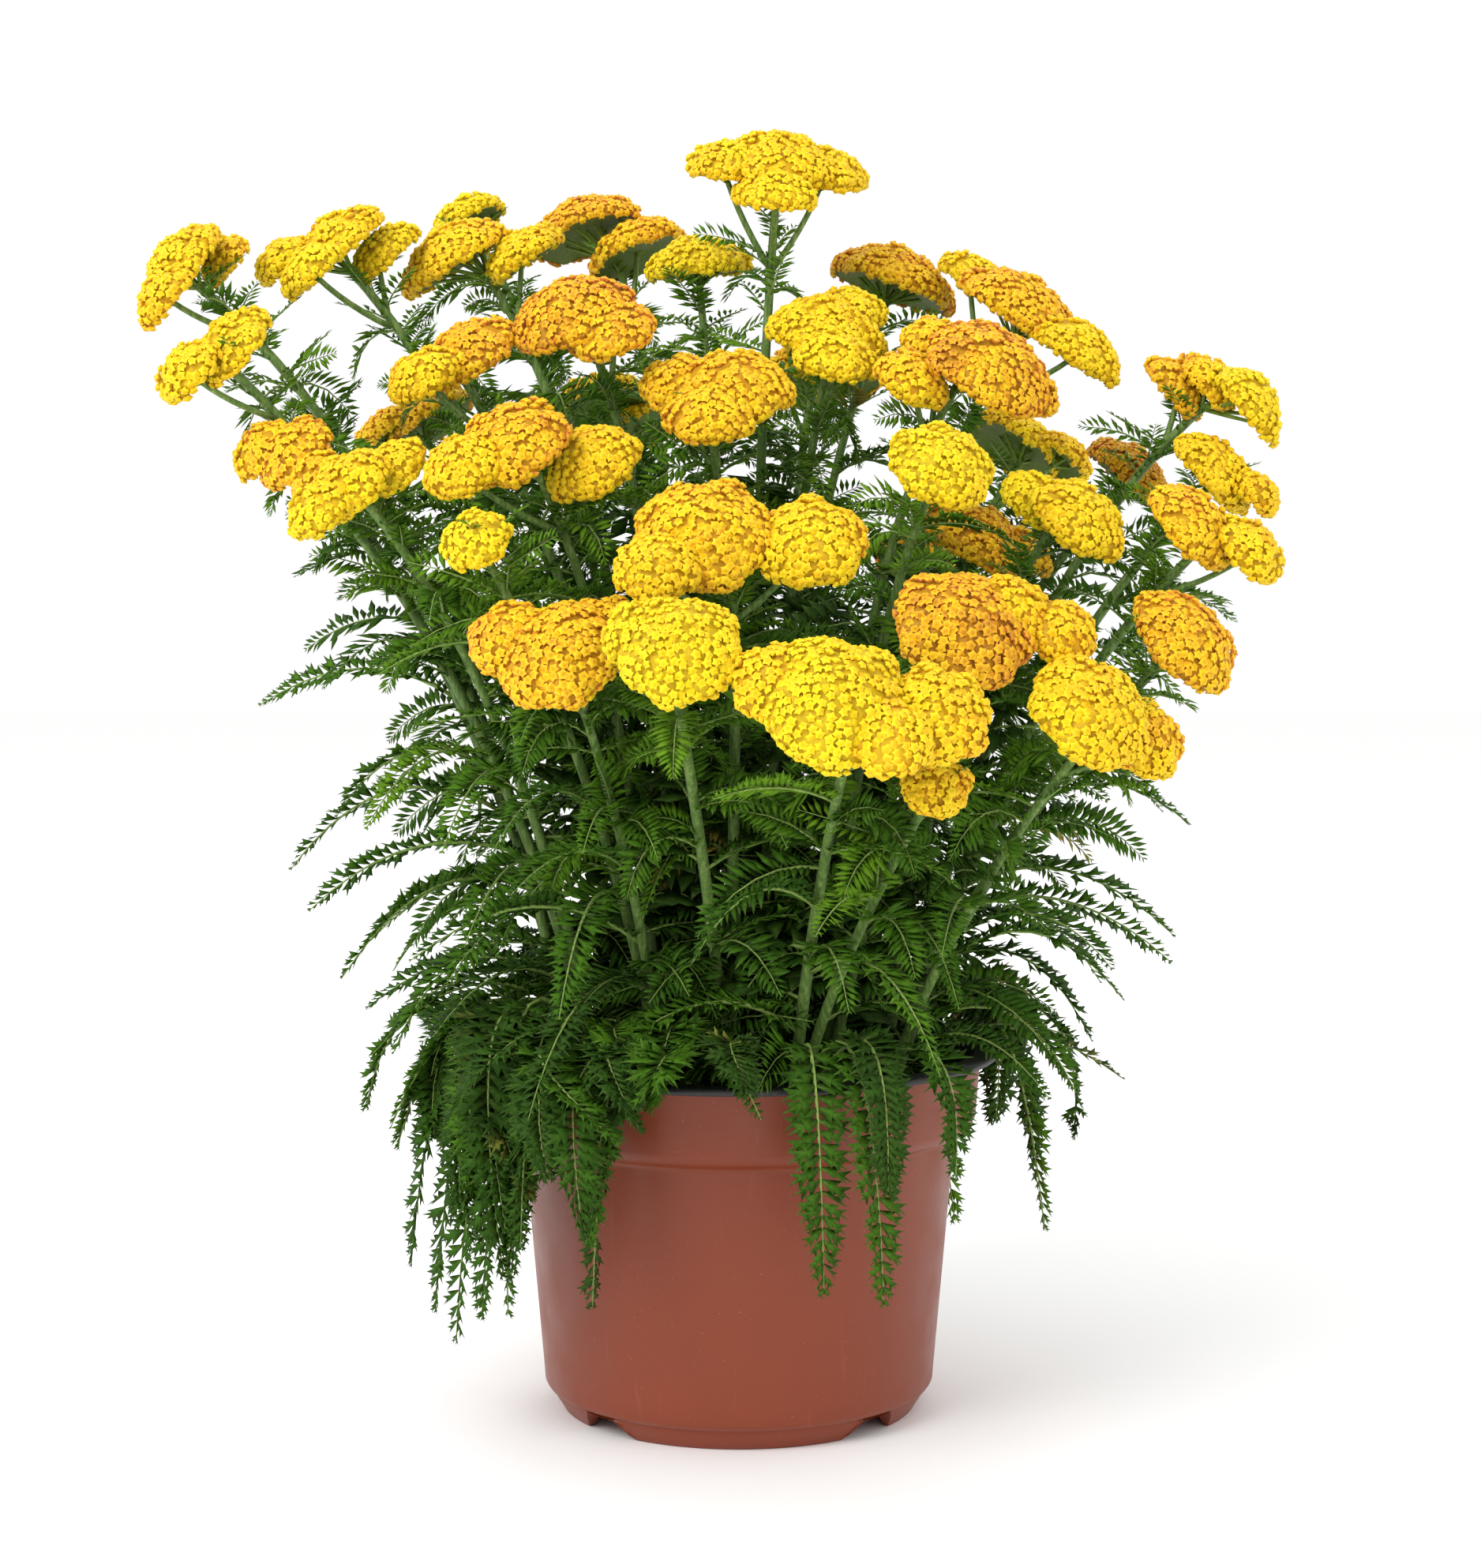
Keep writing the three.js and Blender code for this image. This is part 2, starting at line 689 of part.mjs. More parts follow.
// The shares of its length at which a leaf's rib bends: from its first leaflet to the foot of its tip.
function leafStops(leaf) {
  const count = leafletCount(leaf);
  return Array.from({ length: count }, (_, i) => leaf.bare + ((1 - leaf.bare) * i) / count);
}

// Where the tip of the leaflet between two stops lies, on one side of the rib.
function leafletTip(leaf, from, to, side) {
  const middle = leafFrame(leaf, (from + to) / 2);
  const width = leafHalfWidth(leaf, from + (to - from) * 0.6);
  return middle.place
    .addScaledVector(middle.left, side * width)
    .addScaledVector(middle.ahead, width * 0.5)
    .addScaledVector(middle.face, width * 0.12);
}

// The corners of a leaf's section: the left and right edge of its cut-in blade, and its rib's crest.
function leafSection(leaf, share) {
  const { place, left, face } = leafFrame(leaf, share);
  const cut = share > leaf.bare ? leafHalfWidth(leaf, share) * cutDepth : ribHalfWidth;
  const edges = [cut, -cut].map((across) => place.clone().addScaledVector(left, across));
  return [...edges, place.clone().addScaledVector(face, ribRise)];
}

// A leaf grows from a section of three corners in its stalk's side. From each stop to the next, a leaflet is drawn
// out of each of its two upper sides, and at the tip the blade closes to a point.
function growLeaf(leaf, root, corners, triangles) {
  const stops = leafStops(leaf);
  const joinSections = ([left, right, top], [nextLeft, nextRight, nextTop]) => {
    triangles.push([left, nextRight, right], [left, nextLeft, nextRight]);
    triangles.push([top, nextTop, nextLeft], [top, nextRight, nextTop]);
  };
  const addSection = (share) => {
    corners.push(...leafSection(leaf, share));
    return [corners.length - 3, corners.length - 2, corners.length - 1];
  };
  let section = root;
  if (leaf.bare > 0) {
    const next = addSection(leaf.bare);
    joinSections(section, next);
    triangles.push([section[0], section[2], next[0]], [section[1], next[1], section[2]]);
    section = next;
  }
  for (let i = 1; i < stops.length; i++) {
    const next = addSection(stops[i]);
    joinSections(section, next);
    const [left, right, top] = section;
    const [leftTip, rightTip] = [corners.length, corners.length + 1];
    corners.push(...[1, -1].map((side) => leafletTip(leaf, stops[i - 1], stops[i], side)));
    triangles.push([left, leftTip, next[0]], [next[0], leftTip, top], [top, leftTip, left]);
    triangles.push([next[1], rightTip, right], [right, rightTip, top], [top, rightTip, next[1]]);
    section = next;
  }
  const tip = corners.length;
  corners.push(leafFrame(leaf, 1).place);
  const [left, right, top] = section;
  triangles.push([left, tip, right], [right, tip, top], [top, tip, left]);
}

// The beads of a leaf: along its rib, which is straight from stop to stop, and over its leaflets.
function leafTrail(leaf) {
  const trail = [];
  const stops = leafStops(leaf);
  const bends = [...(leaf.bare > 0 ? [0] : []), ...stops, 1];
  for (let i = 1; i < bends.length; i++) {
    const [from, to] = [bends[i - 1], bends[i]].map((share) => leafFrame(leaf, share).place);
    const count = Math.ceil(from.distanceTo(to) / beadSpacing);
    for (let step = 1; step <= count; step++) {
      const share = THREE.MathUtils.lerp(bends[i - 1], bends[i], step / count);
      const nearRoot = share * leaf.length < rootReach;
      trail.push({ place: from.clone().lerp(to, step / count), radius: ribBead, nearRoot });
    }
  }
  for (let i = 1; i < stops.length; i++) {
    const nearRoot = stops[i - 1] * leaf.length < rootReach;
    const [here, next] = [leafSection(leaf, stops[i - 1]), leafSection(leaf, stops[i])];
    for (const [at, side] of [1, -1].entries()) {
      const tip = leafletTip(leaf, stops[i - 1], stops[i], side);
      const foot = here[at].clone().lerp(next[at], 0.5);
      for (const place of [tip, here[at].lerp(tip, 0.5), next[at].lerp(tip, 0.5), foot.lerp(tip, 0.3)]) {
        trail.push({ place, radius: leafletBead, nearRoot });
      }
    }
  }
  return trail;
}

let seed = 20;
function draw(low, high) {
  seed = (seed * 16807) % 2147483647;
  return low + ((high - low) * seed) / 2147483647;
}

// Keeps the first of several leaves whose beads are clear of all that is there.
function placeLeaf(wanted, { clump, rod, sprouts }) {
  for (const leaf of wanted) {
    const start = leaf.rib.getPoint(1 / leafletCount(leaf)).sub(leaf.rib.getPoint(0));
    const site = freeSite(rod, leaf.up, start, leafFacing);
    const trail = leafTrail(leaf);
    if (!site || !isClear(trail, clump)) continue;
    site.free = false;
    trail.forEach(({ place, radius }) => addBeads([place], radius));
    sprouts.push({ up: leaf.up, site, grow: (...place) => growLeaf(leaf, ...place) });
    return;
  }
}

// ---- The object ---------------------------------------------------------------------------------------------

const looks = {
  pot: { color: 0x8f4a34, roughness: 0.5, metalness: 0 },
  soil: { color: 0x2f241c, roughness: 1, metalness: 0 },
  stems: { color: 0x7d9a58, roughness: 0.7, metalness: 0 },
  head: { color: 0xe8b41c, roughness: 0.8, metalness: 0 },
};

const yarrow = new THREE.Group();

function addPiece(name, look, solid) {
  const mesh = new THREE.Mesh(geometryOf(solid), new THREE.MeshStandardMaterial(looks[look]));
  mesh.name = name;
  yarrow.add(mesh);
}

const numbered = (word, number) => word + "_" + String(number).padStart(2, "0");

// Stalks and heads come first, so that the leaves can be laid out between them.
const stalks = clumps.flatMap(({ crown, stalks: list }, clump) =>
  list.map(({ head, sides }) => {
    const domes = [head, ...sides];
    const curve = stalkCurve(crown, domes);
    return { clump, curve, rod: makeRod(curve), domes, sprouts: [] };
  }),
);
stalks.forEach((stalk) => {
  const { clump, curve, domes } = stalk;
  const count = Math.round(curve.getLength() / beadSpacing);
  const line = Array.from({ length: count + 1 }, (_, i) => onStalk(curve, i / count));
  addBeads(line, stalkBead, clump);
  for (const [foot, top] of growBranches(stalk)) {
    addBeads([0, 0.2, 0.4, 0.6, 0.8, 1].map((share) => foot.clone().lerp(top, share)), leafletBead, clump);
  }
  addHeadBeads(domes);
});

hangingLeaves.forEach(([owner, [x, y, z]]) => {
  const root = onStalk(stalks[owner].curve, hangingUp);
  const tried = turnsTried.map((turn) => {
    const tip = point(x, y, z).applyAxisAngle(point(0, 0, 1), turn * 0.3);
    const rib = hangingLeaf(root, tip);
    return { up: hangingUp, rib, length: rib.getLength(), halfWidth: 12, bare: 0.35, twist: 0 };
  });
  placeLeaf(tried, stalks[owner]);
});
for (const { up, length, spread, slope, droop } of leafRounds) {
  for (const stalk of stalks) {
    const root = onStalk(stalk.curve, up);
    const outward = Math.atan2(root.y, root.x) + draw(-spread, spread);
    const ownLength = length * draw(0.85, 1.15);
    const halfWidth = (6 + ownLength / 16) * draw(0.9, 1.1);
    const slopes = { slope: slope + draw(-0.25, 0.25), droop: droop + draw(-0.3, 0.3) };
    const twist = draw(-mostTwist, mostTwist);
    const tried = turnsTried.map((turn) => {
      const heading = outward + turn;
      const rib = freeLeaf({ root, heading, length: ownLength, ...slopes });
      return { up, rib, length: ownLength, halfWidth, bare: 0, twist };
    });
    placeLeaf(tried, stalk);
  }
}

addPiece("pot", "pot", makePot());
addPiece("soil", "soil", makeSoil());
clumps.forEach(({ crown }, clump) => {
  let stems = solidOf(crownGeometry(crown, crownRadius, soilRise - holeDepth, soilRise + 3));
  for (const stalk of stalks.filter((one) => one.clump === clump)) {
    stems = stems.add(solidOf(stalkGeometry(stalk)));
  }
  addPiece(numbered("stems", clump + 1), "stems", stems);
});
stalks.forEach(({ domes }, stalk) => {
  addPiece(numbered("head", stalk + 1), "head", solidOf(headGeometry(domes)));
});

// The part's origin is on the ground under the middle of its own box.
const bounds = new THREE.Box3().setFromObject(yarrow);
yarrow.position.set(-(bounds.min.x + bounds.max.x) / 2, -(bounds.min.y + bounds.max.y) / 2, 0);

export default yarrow;
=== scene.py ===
# %% [markdown]
# # A yarrow plant in its nursery pot
# Yarrow grows as a tuft of upright stalks with feathery leaves, and each stalk ends in a flat-topped head of
# tiny flowers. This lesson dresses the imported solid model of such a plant: it keeps the model's layout and
# replaces its plain solids with florets, cut leaves, ridged stalks and a moulded pot.
# Everything is worked out in millimetres round the pot's axis, and put into the frame, in metres, at the end.

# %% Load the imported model
import math
from types import SimpleNamespace

import bpy
import numpy as np
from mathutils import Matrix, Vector


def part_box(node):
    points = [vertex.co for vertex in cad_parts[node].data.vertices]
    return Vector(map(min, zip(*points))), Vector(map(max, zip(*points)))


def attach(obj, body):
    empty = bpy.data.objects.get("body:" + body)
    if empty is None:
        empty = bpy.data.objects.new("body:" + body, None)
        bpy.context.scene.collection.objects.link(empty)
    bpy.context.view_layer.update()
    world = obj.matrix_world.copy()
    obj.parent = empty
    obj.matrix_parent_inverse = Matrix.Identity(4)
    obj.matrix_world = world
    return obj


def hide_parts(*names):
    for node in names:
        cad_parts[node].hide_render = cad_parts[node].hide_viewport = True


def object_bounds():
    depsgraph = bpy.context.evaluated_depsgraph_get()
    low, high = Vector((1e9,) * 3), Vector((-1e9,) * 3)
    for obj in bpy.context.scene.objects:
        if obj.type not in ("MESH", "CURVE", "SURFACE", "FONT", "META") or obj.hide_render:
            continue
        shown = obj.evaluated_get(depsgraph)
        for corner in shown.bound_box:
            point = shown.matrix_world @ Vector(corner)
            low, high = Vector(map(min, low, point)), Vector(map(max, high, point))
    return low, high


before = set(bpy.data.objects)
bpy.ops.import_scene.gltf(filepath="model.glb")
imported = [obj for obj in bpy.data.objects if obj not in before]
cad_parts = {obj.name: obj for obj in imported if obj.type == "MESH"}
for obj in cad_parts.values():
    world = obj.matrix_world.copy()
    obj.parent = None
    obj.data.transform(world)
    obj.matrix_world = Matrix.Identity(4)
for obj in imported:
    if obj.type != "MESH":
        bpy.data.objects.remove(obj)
cad_low, cad_high = [list(corner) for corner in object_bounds()]
pot_low, pot_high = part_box("pot")
POT_AXIS = np.array([(pot_low.x + pot_high.x) / 2, (pot_low.y + pot_high.y) / 2, 0.0])
print("packed model:", len(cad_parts), "nodes, from", cad_low, "to", cad_high)

# %% [markdown]
# ## Camera, floor and light
# The camera stands 1.3 m in front of the pot at about the height of the upper leaves, with a longish lens,
# so that the pot's mouth shows as a thin ellipse. A pale floor, three large soft lamps and a white sky light
# the plant as in a studio.

# %% Camera
FOCAL_PIXELS, FRAME_HEIGHT = 3794, 1986
SENSOR_SIZE = 36
CAMERA_PLACE = (0.0007, -1.311, 0.373)  # metres, from the foot of the pot's axis
CAMERA_DOWN = 0.075  # radians below level
camera = bpy.data.objects.new("camera", bpy.data.cameras.new("camera"))
bpy.context.collection.objects.link(camera)
camera.location = POT_AXIS + np.array(CAMERA_PLACE)
camera.rotation_euler = (math.pi / 2 - CAMERA_DOWN, 0, 0)
camera.data.sensor_width = SENSOR_SIZE
camera.data.lens = FOCAL_PIXELS / FRAME_HEIGHT * SENSOR_SIZE
camera.data.clip_start = 0.05
bpy.context.scene.camera = camera
print("lens", round(camera.data.lens, 1), "mm")

# %% Floor, lamps and sky
FLOOR_HALF = 6
LAMP_TARGET = (0, 0, 0.3)
# place in metres, size in metres and power in watts
LAMPS = {"key": ((-1.2, -1.5, 1.8), 1.3, 34), "fill": ((1.7, -1.3, 1.1), 1.6, 4),
         "back": ((0.5, 1.8, 1.7), 1.4, 8)}


def new_material(name):
    """A material, its node tree and its shader."""
    material = bpy.data.materials.new(name)
    material.use_nodes = True
    return material, material.node_tree, material.node_tree.nodes["Principled BSDF"]


def add_lamp(name, place, size, watts):
    """A square lamp that faces the plant."""
    lamp = bpy.data.objects.new(name, bpy.data.lights.new(name, "AREA"))
    lamp.data.size, lamp.data.energy, lamp.location = size, watts, place
    away = np.array(place) - np.array(LAMP_TARGET)
    lamp.rotation_mode = "QUATERNION"
    lamp.rotation_quaternion = Vector(away).to_track_quat("Z", "Y")
    bpy.context.collection.objects.link(lamp)


floor_mesh = bpy.data.meshes.new("floor")
floor_corners = [(x * FLOOR_HALF, y * FLOOR_HALF, 0) for x, y in ((-1, -1), (1, -1), (1, 1), (-1, 1))]
floor_mesh.from_pydata(floor_corners, [], [(0, 1, 2, 3)])
floor = bpy.data.objects.new("floor", floor_mesh)
bpy.context.collection.objects.link(floor)
floor_material, _, floor_shader = new_material("pale_floor")
floor_shader.inputs["Base Color"].default_value = (0.98, 0.98, 0.975, 1)
floor_shader.inputs["Roughness"].default_value = 0.9
floor_mesh.materials.append(floor_material)
for name, (place, size, watts) in LAMPS.items():
    add_lamp(name, place, size, watts)
sky = bpy.data.worlds.new("sky")
bpy.context.scene.world = sky
sky.use_nodes = True
sky.node_tree.nodes["Background"].inputs["Color"].default_value = (1, 1, 1, 1)
sky.node_tree.nodes["Background"].inputs["Strength"].default_value = 1.0
bpy.context.scene.view_settings.view_transform = "Standard"
print("stage: floor,", len(LAMPS), "lamps and a white sky")

# %% [markdown]
# ## The plant's layout
# The same small table lays out the plant in the solid model: eighteen crowns in the soil, one to three stalks
# from each, and for every stalk the domes of its head, as x, y, the height of the dome's rim, and its radius.
# "RIPENESS" says how old the flowers are, from 0 for fresh lemon yellow to 1 for orange and salmon: first for
# each head's main dome, and then for its side domes.

# %% Crowns, stalks and heads
CLUMPS = [
    ((6, 30), [[(16, 30, 548, 26), (-5, 21, 547, 16), (37, 38, 545, 19), (16, 8, 533, 17)],
               [(-19, 70, 508, 22)],
               [(72, 90, 502, 28)]]),
    ((-28, 44), [[(-74, 130, 530, 25), (-48, 120, 520, 22)],
                 [(-130, 125, 534, 17)]]),
    ((-46, 12), [[(-130, 60, 510, 25), (-98, 52, 511, 17)],
                 [(-179, 30, 512, 22), (-160, 42, 510, 16), (-188, 8, 500, 14), (-203, 26, 506, 12)]]),
    ((-66, -12), [[(-242, -6, 500, 20), (-246, -24, 486, 15), (-226, 10, 504, 11)],
                  [(-214, -44, 463, 18), (-230, -58, 452, 14)]]),
    ((-26, -10), [[(-72, -20, 478, 25), (-54, -34, 470, 17)],
                  [(-116, -22, 462, 20), (-134, -38, 452, 15)]]),
    ((-56, -36), [[(-186, -60, 418, 16), (-200, -52, 420, 13), (-176, -74, 409, 10)],
                  [(-159, -96, 404, 16), (-170, -108, 394, 12), (-142, -82, 412, 12)]]),
    ((6, -14), [[(-2, -44, 446, 23), (-23, -34, 448, 17), (-12, -64, 434, 17)],
                [(38, 0, 473, 24), (42, -22, 460, 17), (50, 14, 484, 13)]]),
    ((-30, -46), [[(-93, -88, 421, 22), (-112, -98, 412, 15), (-62, -74, 414, 19)],
                  [(-104, -134, 382, 12)],
                  [(-70, -152, 337, 23), (-90, -142, 344, 15), (-54, -136, 346, 15)]]),
    ((-4, -42), [[(-14, -122, 384, 27), (-32, -144, 371, 15), (28, -122, 381, 21)],
                 [(-22, -188, 340, 22), (-36, -178, 346, 14)]]),
    ((22, -60), [[(36, -200, 321, 27), (14, -196, 328, 15), (56, -210, 309, 15), (74, -194, 316, 19)],
                 [(76, -166, 288, 12)]]),
    ((36, -36), [[(88, -140, 347, 26), (109, -128, 354, 15), (128, -128, 346, 13)],
                 [(82, -104, 412, 20)]]),
    ((60, -38), [[(138, -150, 315, 24), (160, -134, 304, 16)],
                 [(184, -84, 341, 23)]]),
    ((62, -10), [[(143, -60, 391, 20), (126, -48, 399, 14)],
                 [(192, -48, 388, 20), (216, -52, 378, 15)]]),
    ((36, 4), [[(108, -32, 454, 28), (74, -40, 450, 15), (88, -16, 464, 17)],
               [(105, 14, 383, 24), (126, 24, 378, 14)]]),
    ((70, 18), [[(226, 14, 442, 19), (196, 32, 450, 15), (210, 26, 452, 14)],
                [(208, 2, 412, 20), (226, -10, 403, 10)]]),
    ((42, 34), [[(126, 44, 485, 28), (150, 26, 466, 21), (108, 68, 502, 15)],
                [(180, 66, 412, 21)]]),
    ((-14, 66), [[(-70, 190, 450, 23), (-50, 204, 442, 16)],
                 [(-150, 130, 440, 22), (-168, 118, 434, 15)],
                 [(-20, 232, 362, 22)]]),
    ((30, 64), [[(46, 176, 470, 25), (24, 186, 462, 17)],
                [(136, 160, 430, 23), (156, 148, 424, 15)],
                [(92, 214, 372, 21)]]),
]
RIPENESS = [
    (0.30, 0.24), (0.10,), (0.66,), (0.74, 0.58), (0.05,), (0.45, 0.28), (0.30, 0.22), (0.30, 0.40),
    (0.20, 0.25), (0.80, 0.70), (0.70, 0.30), (0.68, 0.55), (0.30, 0.22), (0.62, 0.50), (0.28, 0.20),
    (0.66, 0.34), (0.12,), (0.62, 0.50), (0.52, 0.30), (0.12, 0.10), (0.12, 0.34), (0.50,), (0.82, 0.42),
    (0.10,), (0.30, 0.50), (0.68,), (0.24, 0.20), (0.58, 0.35), (0.82, 0.55), (0.70, 0.60), (0.16, 0.50),
    (0.30, 0.35), (0.66, 0.28), (0.90,), (0.40, 0.30), (0.70, 0.55), (0.20,), (0.50, 0.35), (0.30, 0.40),
    (0.80,),
]
HANGING_LEAVES = [
    (20, (43, -132, 73)), (21, (66, -128, 76)), (19, (-34, -130, 112)), (17, (-62, -126, 84)),
    (16, (-108, -122, 60)), (23, (88, -112, 124)), (25, (130, -70, 122)), (12, (-140, -84, 120)),
    (8, (-170, -34, 140)), (31, (168, 10, 120)), (35, (-120, 96, 110)), (36, (-30, 150, 96)),
    (39, (62, 142, 90)), (33, (140, 70, 112)),
]
# place up the stalk, length, spread from straight outwards, the rib's slope at its root and at its tip
LEAF_ROUNDS = [
    (0.12, 130, 0.8, 0.7, -0.9), (0.24, 120, 1.0, 0.5, -1.0), (0.36, 108, 1.4, 0.6, -0.9),
    (0.50, 92, 1.8, 0.6, -0.7), (0.62, 78, 2.2, 0.5, -0.6), (0.75, 64, 2.6, 0.6, -0.4),
    (0.18, 104, 2.6, 0.6, -0.8),
]
TURNS_TRIED = [0, 0.4, -0.4, 0.8, -0.8, 1.2, -1.2, 1.6, -1.6]
print(len(CLUMPS), "crowns and", sum(len(heads) for _, heads in CLUMPS), "stalks")

# %% Shared dimensions
POT_HEIGHT, LIP_RADIUS = 159.4, 115.0
COLLAR_FOOT_RADIUS = 104.5
SOIL_RISE, SOIL_EDGE = 126.0, 117.0  # the soil's height in the middle and at the pot's wall
STALK_FOOT, STALK_TOP = 3.1, 2.1  # radii
LEAF_TURN = 2.4  # radians round the stalk from each leaf to the next
BEAD_SPACING = 4.5
HANGING_UP, HANGING_BARE = 0.06, 0.35  # shares: up the stalk, and of the rib that bears no leaflets
rng = np.random.default_rng(7)


def unit(vectors):
    """Each vector divided by its own length."""
    vectors = np.asarray(vectors, float)
    return vectors / np.linalg.norm(vectors, axis=-1, keepdims=True)


# %% [markdown]
# ## A head's plane
# A flower head leans outwards with its stalk. It is easiest to shape in a plane of its own: u and v run
# across it, h stands square to it, and each dome is a low paraboloid over its circle. The head's outline is
# the far side of the furthest circle in every direction.

# %% Plane, outline and dome height
# heads lean away from a line this far behind the pot's axis, and by 45 degrees at this distance from it
LEAN_CENTRE, LEAN_REACH = 80, 200
REACH_SPARE, LEAST_REACH = 1.08, 0.62
HEAD_DEPTH = 0.28  # from the head's root to its middle, as a share of its reach
DOME_RISE = 0.48  # a dome's height over its rim, as a share of its radius


def head_plane(domes):
    """The head's own axes and centre, and its domes as rows of u, v, h, radius."""
    domes = np.array(domes, float)
    axis = unit([domes[0, 0] / LEAN_REACH, (domes[0, 1] - LEAN_CENTRE) / LEAN_REACH, 1])
    across = unit(np.array([1, 0, 0]) - axis * axis[0])
    along = np.cross(axis, across)
    weight = domes[:, 3] ** 2
    middle = (domes[:, :3] * weight[:, None]).sum(0) / weight.sum()
    apart = domes[:, :3] - middle
    spots = np.stack([apart @ across, apart @ along, apart @ axis, domes[:, 3]], 1)
    reach = math.sqrt(weight.sum()) * REACH_SPARE
    return SimpleNamespace(axis=axis, across=across, along=along, middle=middle, spots=spots,
                           reach=reach, depth=reach * HEAD_DEPTH)


def on_plane(plane, u, v, h):
    """Middle plus u across, v along and h up the head's own axes."""
    return (plane.middle + np.multiply.outer(u, plane.across) + np.multiply.outer(v, plane.along)
            + np.multiply.outer(h, plane.axis))


def outline(plane, angle):
    """For each angle, the largest distance at which a ray from the middle leaves one of the circles."""
    angle = np.atleast_1d(angle)[:, None]
    u, v, _, radius = plane.spots.T
    ahead = u * np.cos(angle) + v * np.sin(angle)
    beside = radius**2 - (u**2 + v**2 - ahead**2)
    exits = np.where(beside < 0, 0, ahead + np.sqrt(np.maximum(beside, 0)))
    return np.maximum(plane.reach * LEAST_REACH, exits.max(1))


def dome_heights(plane, u, v):
    """Each dome's height over the places: its rim's height plus DOME_RISE radius (1 - distance squared)."""
    spot_u, spot_v, spot_h, radius = plane.spots.T
    out = ((np.asarray(u)[..., None] - spot_u) ** 2 + (np.asarray(v)[..., None] - spot_v) ** 2) / radius**2
    return spot_h + DOME_RISE * radius * (1 - out)


def underside(plane, angle, share):
    """A cone from the head's root, below its middle, to its edge."""
    edge = outline(plane, angle)
    edge_height = dome_heights(plane, edge * np.cos(angle), edge * np.sin(angle)).max(-1)
    return -plane.depth * (1 - share) + edge_height * share


# %% [markdown]
# ## Stalks and where their leaves grow
# A stalk is a Bezier curve from its crown to the root of its head. The solid model walks up each stalk and
# keeps every leaf that is clear of all that stands there already, which it tests with small balls, "beads".
# The same walk is repeated here, so that each fine leaf lies on its solid.

# %% Stalk curves
STALK_STEPS, STALK_SIDES = 5, 5  # of the rod that stands for a stalk in the solid model
FOOT_SUNK = 4.0  # how deep in the soil a stalk begins
LOWER_OUT, LOWER_UP, UPPER_DOWN = 0.12, 0.4, 0.3  # where the curve's two inner points lie, as shares
HEAD_GAP = 0.3  # between a stalk and its head in the solid model


def bezier(control, share):
    """Point on a Bezier curve of 3 or 4 control points, for an array of shares."""
    share = np.asarray(share, float)[..., None]
    rest = 1 - share
    if len(control) == 3:
        return rest**2 * control[0] + 2 * rest * share * control[1] + share**2 * control[2]
    return (rest**3 * control[0] + 3 * rest**2 * share * control[1]
            + 3 * rest * share**2 * control[2] + share**3 * control[3])


def bezier_direction(control, share):
    """Unit tangent of the Bezier curve: its derivative divided by its length."""
    share = np.asarray(share, float)[..., None]
    rest = 1 - share
    steps = np.diff(control, axis=0)
    if len(control) == 3:
        return unit(rest * steps[0] + share * steps[1])
    return unit(rest**2 * steps[0] + 2 * rest * share * steps[1] + share**2 * steps[2])


def curve_length(control):
    """Length of the curve, as two hundred straight pieces."""
    return np.linalg.norm(np.diff(bezier(control, np.linspace(0, 1, 201)), axis=0), axis=1).sum()


def stalk_curve(crown, plane):
    """Upright out of the soil, then bending over to meet its head's plane squarely."""
    foot = np.array([crown[0], crown[1], SOIL_RISE - FOOT_SUNK])
    top = on_plane(plane, 0.0, 0.0, -plane.depth - HEAD_GAP)
    rise = top[2] - foot[2]
    lower = foot + (top - foot) * LOWER_OUT
    lower[2] = foot[2] + rise * LOWER_UP
    return np.array([foot, lower, top - plane.axis * rise * UPPER_DOWN, top])


def on_stalk(curve, share):
    """Place on the straight-stepped rod that stands for the stalk in the solid model."""
    step = min(int(share * STALK_STEPS), STALK_STEPS - 1)
    here, there = bezier(curve, [step / STALK_STEPS, (step + 1) / STALK_STEPS])
    return here + (there - here) * (share * STALK_STEPS - step)


# %% Sites for leaves on a stalk's five sides
def make_sites(curve):
    """Outward normals of the rod's triangles, by step and half, and whether each is still free."""
    share = np.linspace(0, 1, STALK_STEPS + 1)
    ahead = bezier_direction(curve, share)
    across = unit(np.array([1, 0, 0]) - ahead * ahead[:, :1])
    aside = np.cross(ahead, across)
    radius = STALK_FOOT + (STALK_TOP - STALK_FOOT) * share
    angle = np.arange(STALK_SIDES) * 2 * np.pi / STALK_SIDES
    ring = (across[:, None] * np.cos(angle)[:, None] + aside[:, None] * np.sin(angle)[:, None])
    corners = bezier(curve, share)[:, None] + ring * radius[:, None, None]
    low, low_next = corners[:-1], np.roll(corners[:-1], -1, 1)
    high, high_next = corners[1:], np.roll(corners[1:], -1, 1)
    normals = np.stack([unit(np.cross(low_next - low, high - low)),
                        unit(np.cross(high_next - low_next, high - low_next))], 1)
    return normals, np.ones(normals.shape[:3], bool)


def free_site(stalk, up, direction, least):
    """The side that best faces the direction, if it is free and the cosine between them passes the least."""
    step = min(int(up * STALK_STEPS), STALK_STEPS - 1)
    half = 0 if up * STALK_STEPS - step < 0.5 else 1
    facing = stalk.normals[step, half] @ unit(direction)
    side = int(facing.argmax())
    return (step, half, side) if stalk.free[step, half, side] and facing[side] > least else None


stalks = []
for clump, (crown, heads) in enumerate(CLUMPS):
    for domes in heads:
        plane = head_plane(domes)
        curve = stalk_curve(crown, plane)
        normals, free = make_sites(curve)
        stalks.append(SimpleNamespace(clump=clump, plane=plane, curve=curve, length=curve_length(curve),
                                      normals=normals, free=free, branches=[], number=len(stalks)))
lengths = [round(stalk.length) for stalk in stalks]
print("stalks from", min(lengths), "to", max(lengths), "mm")

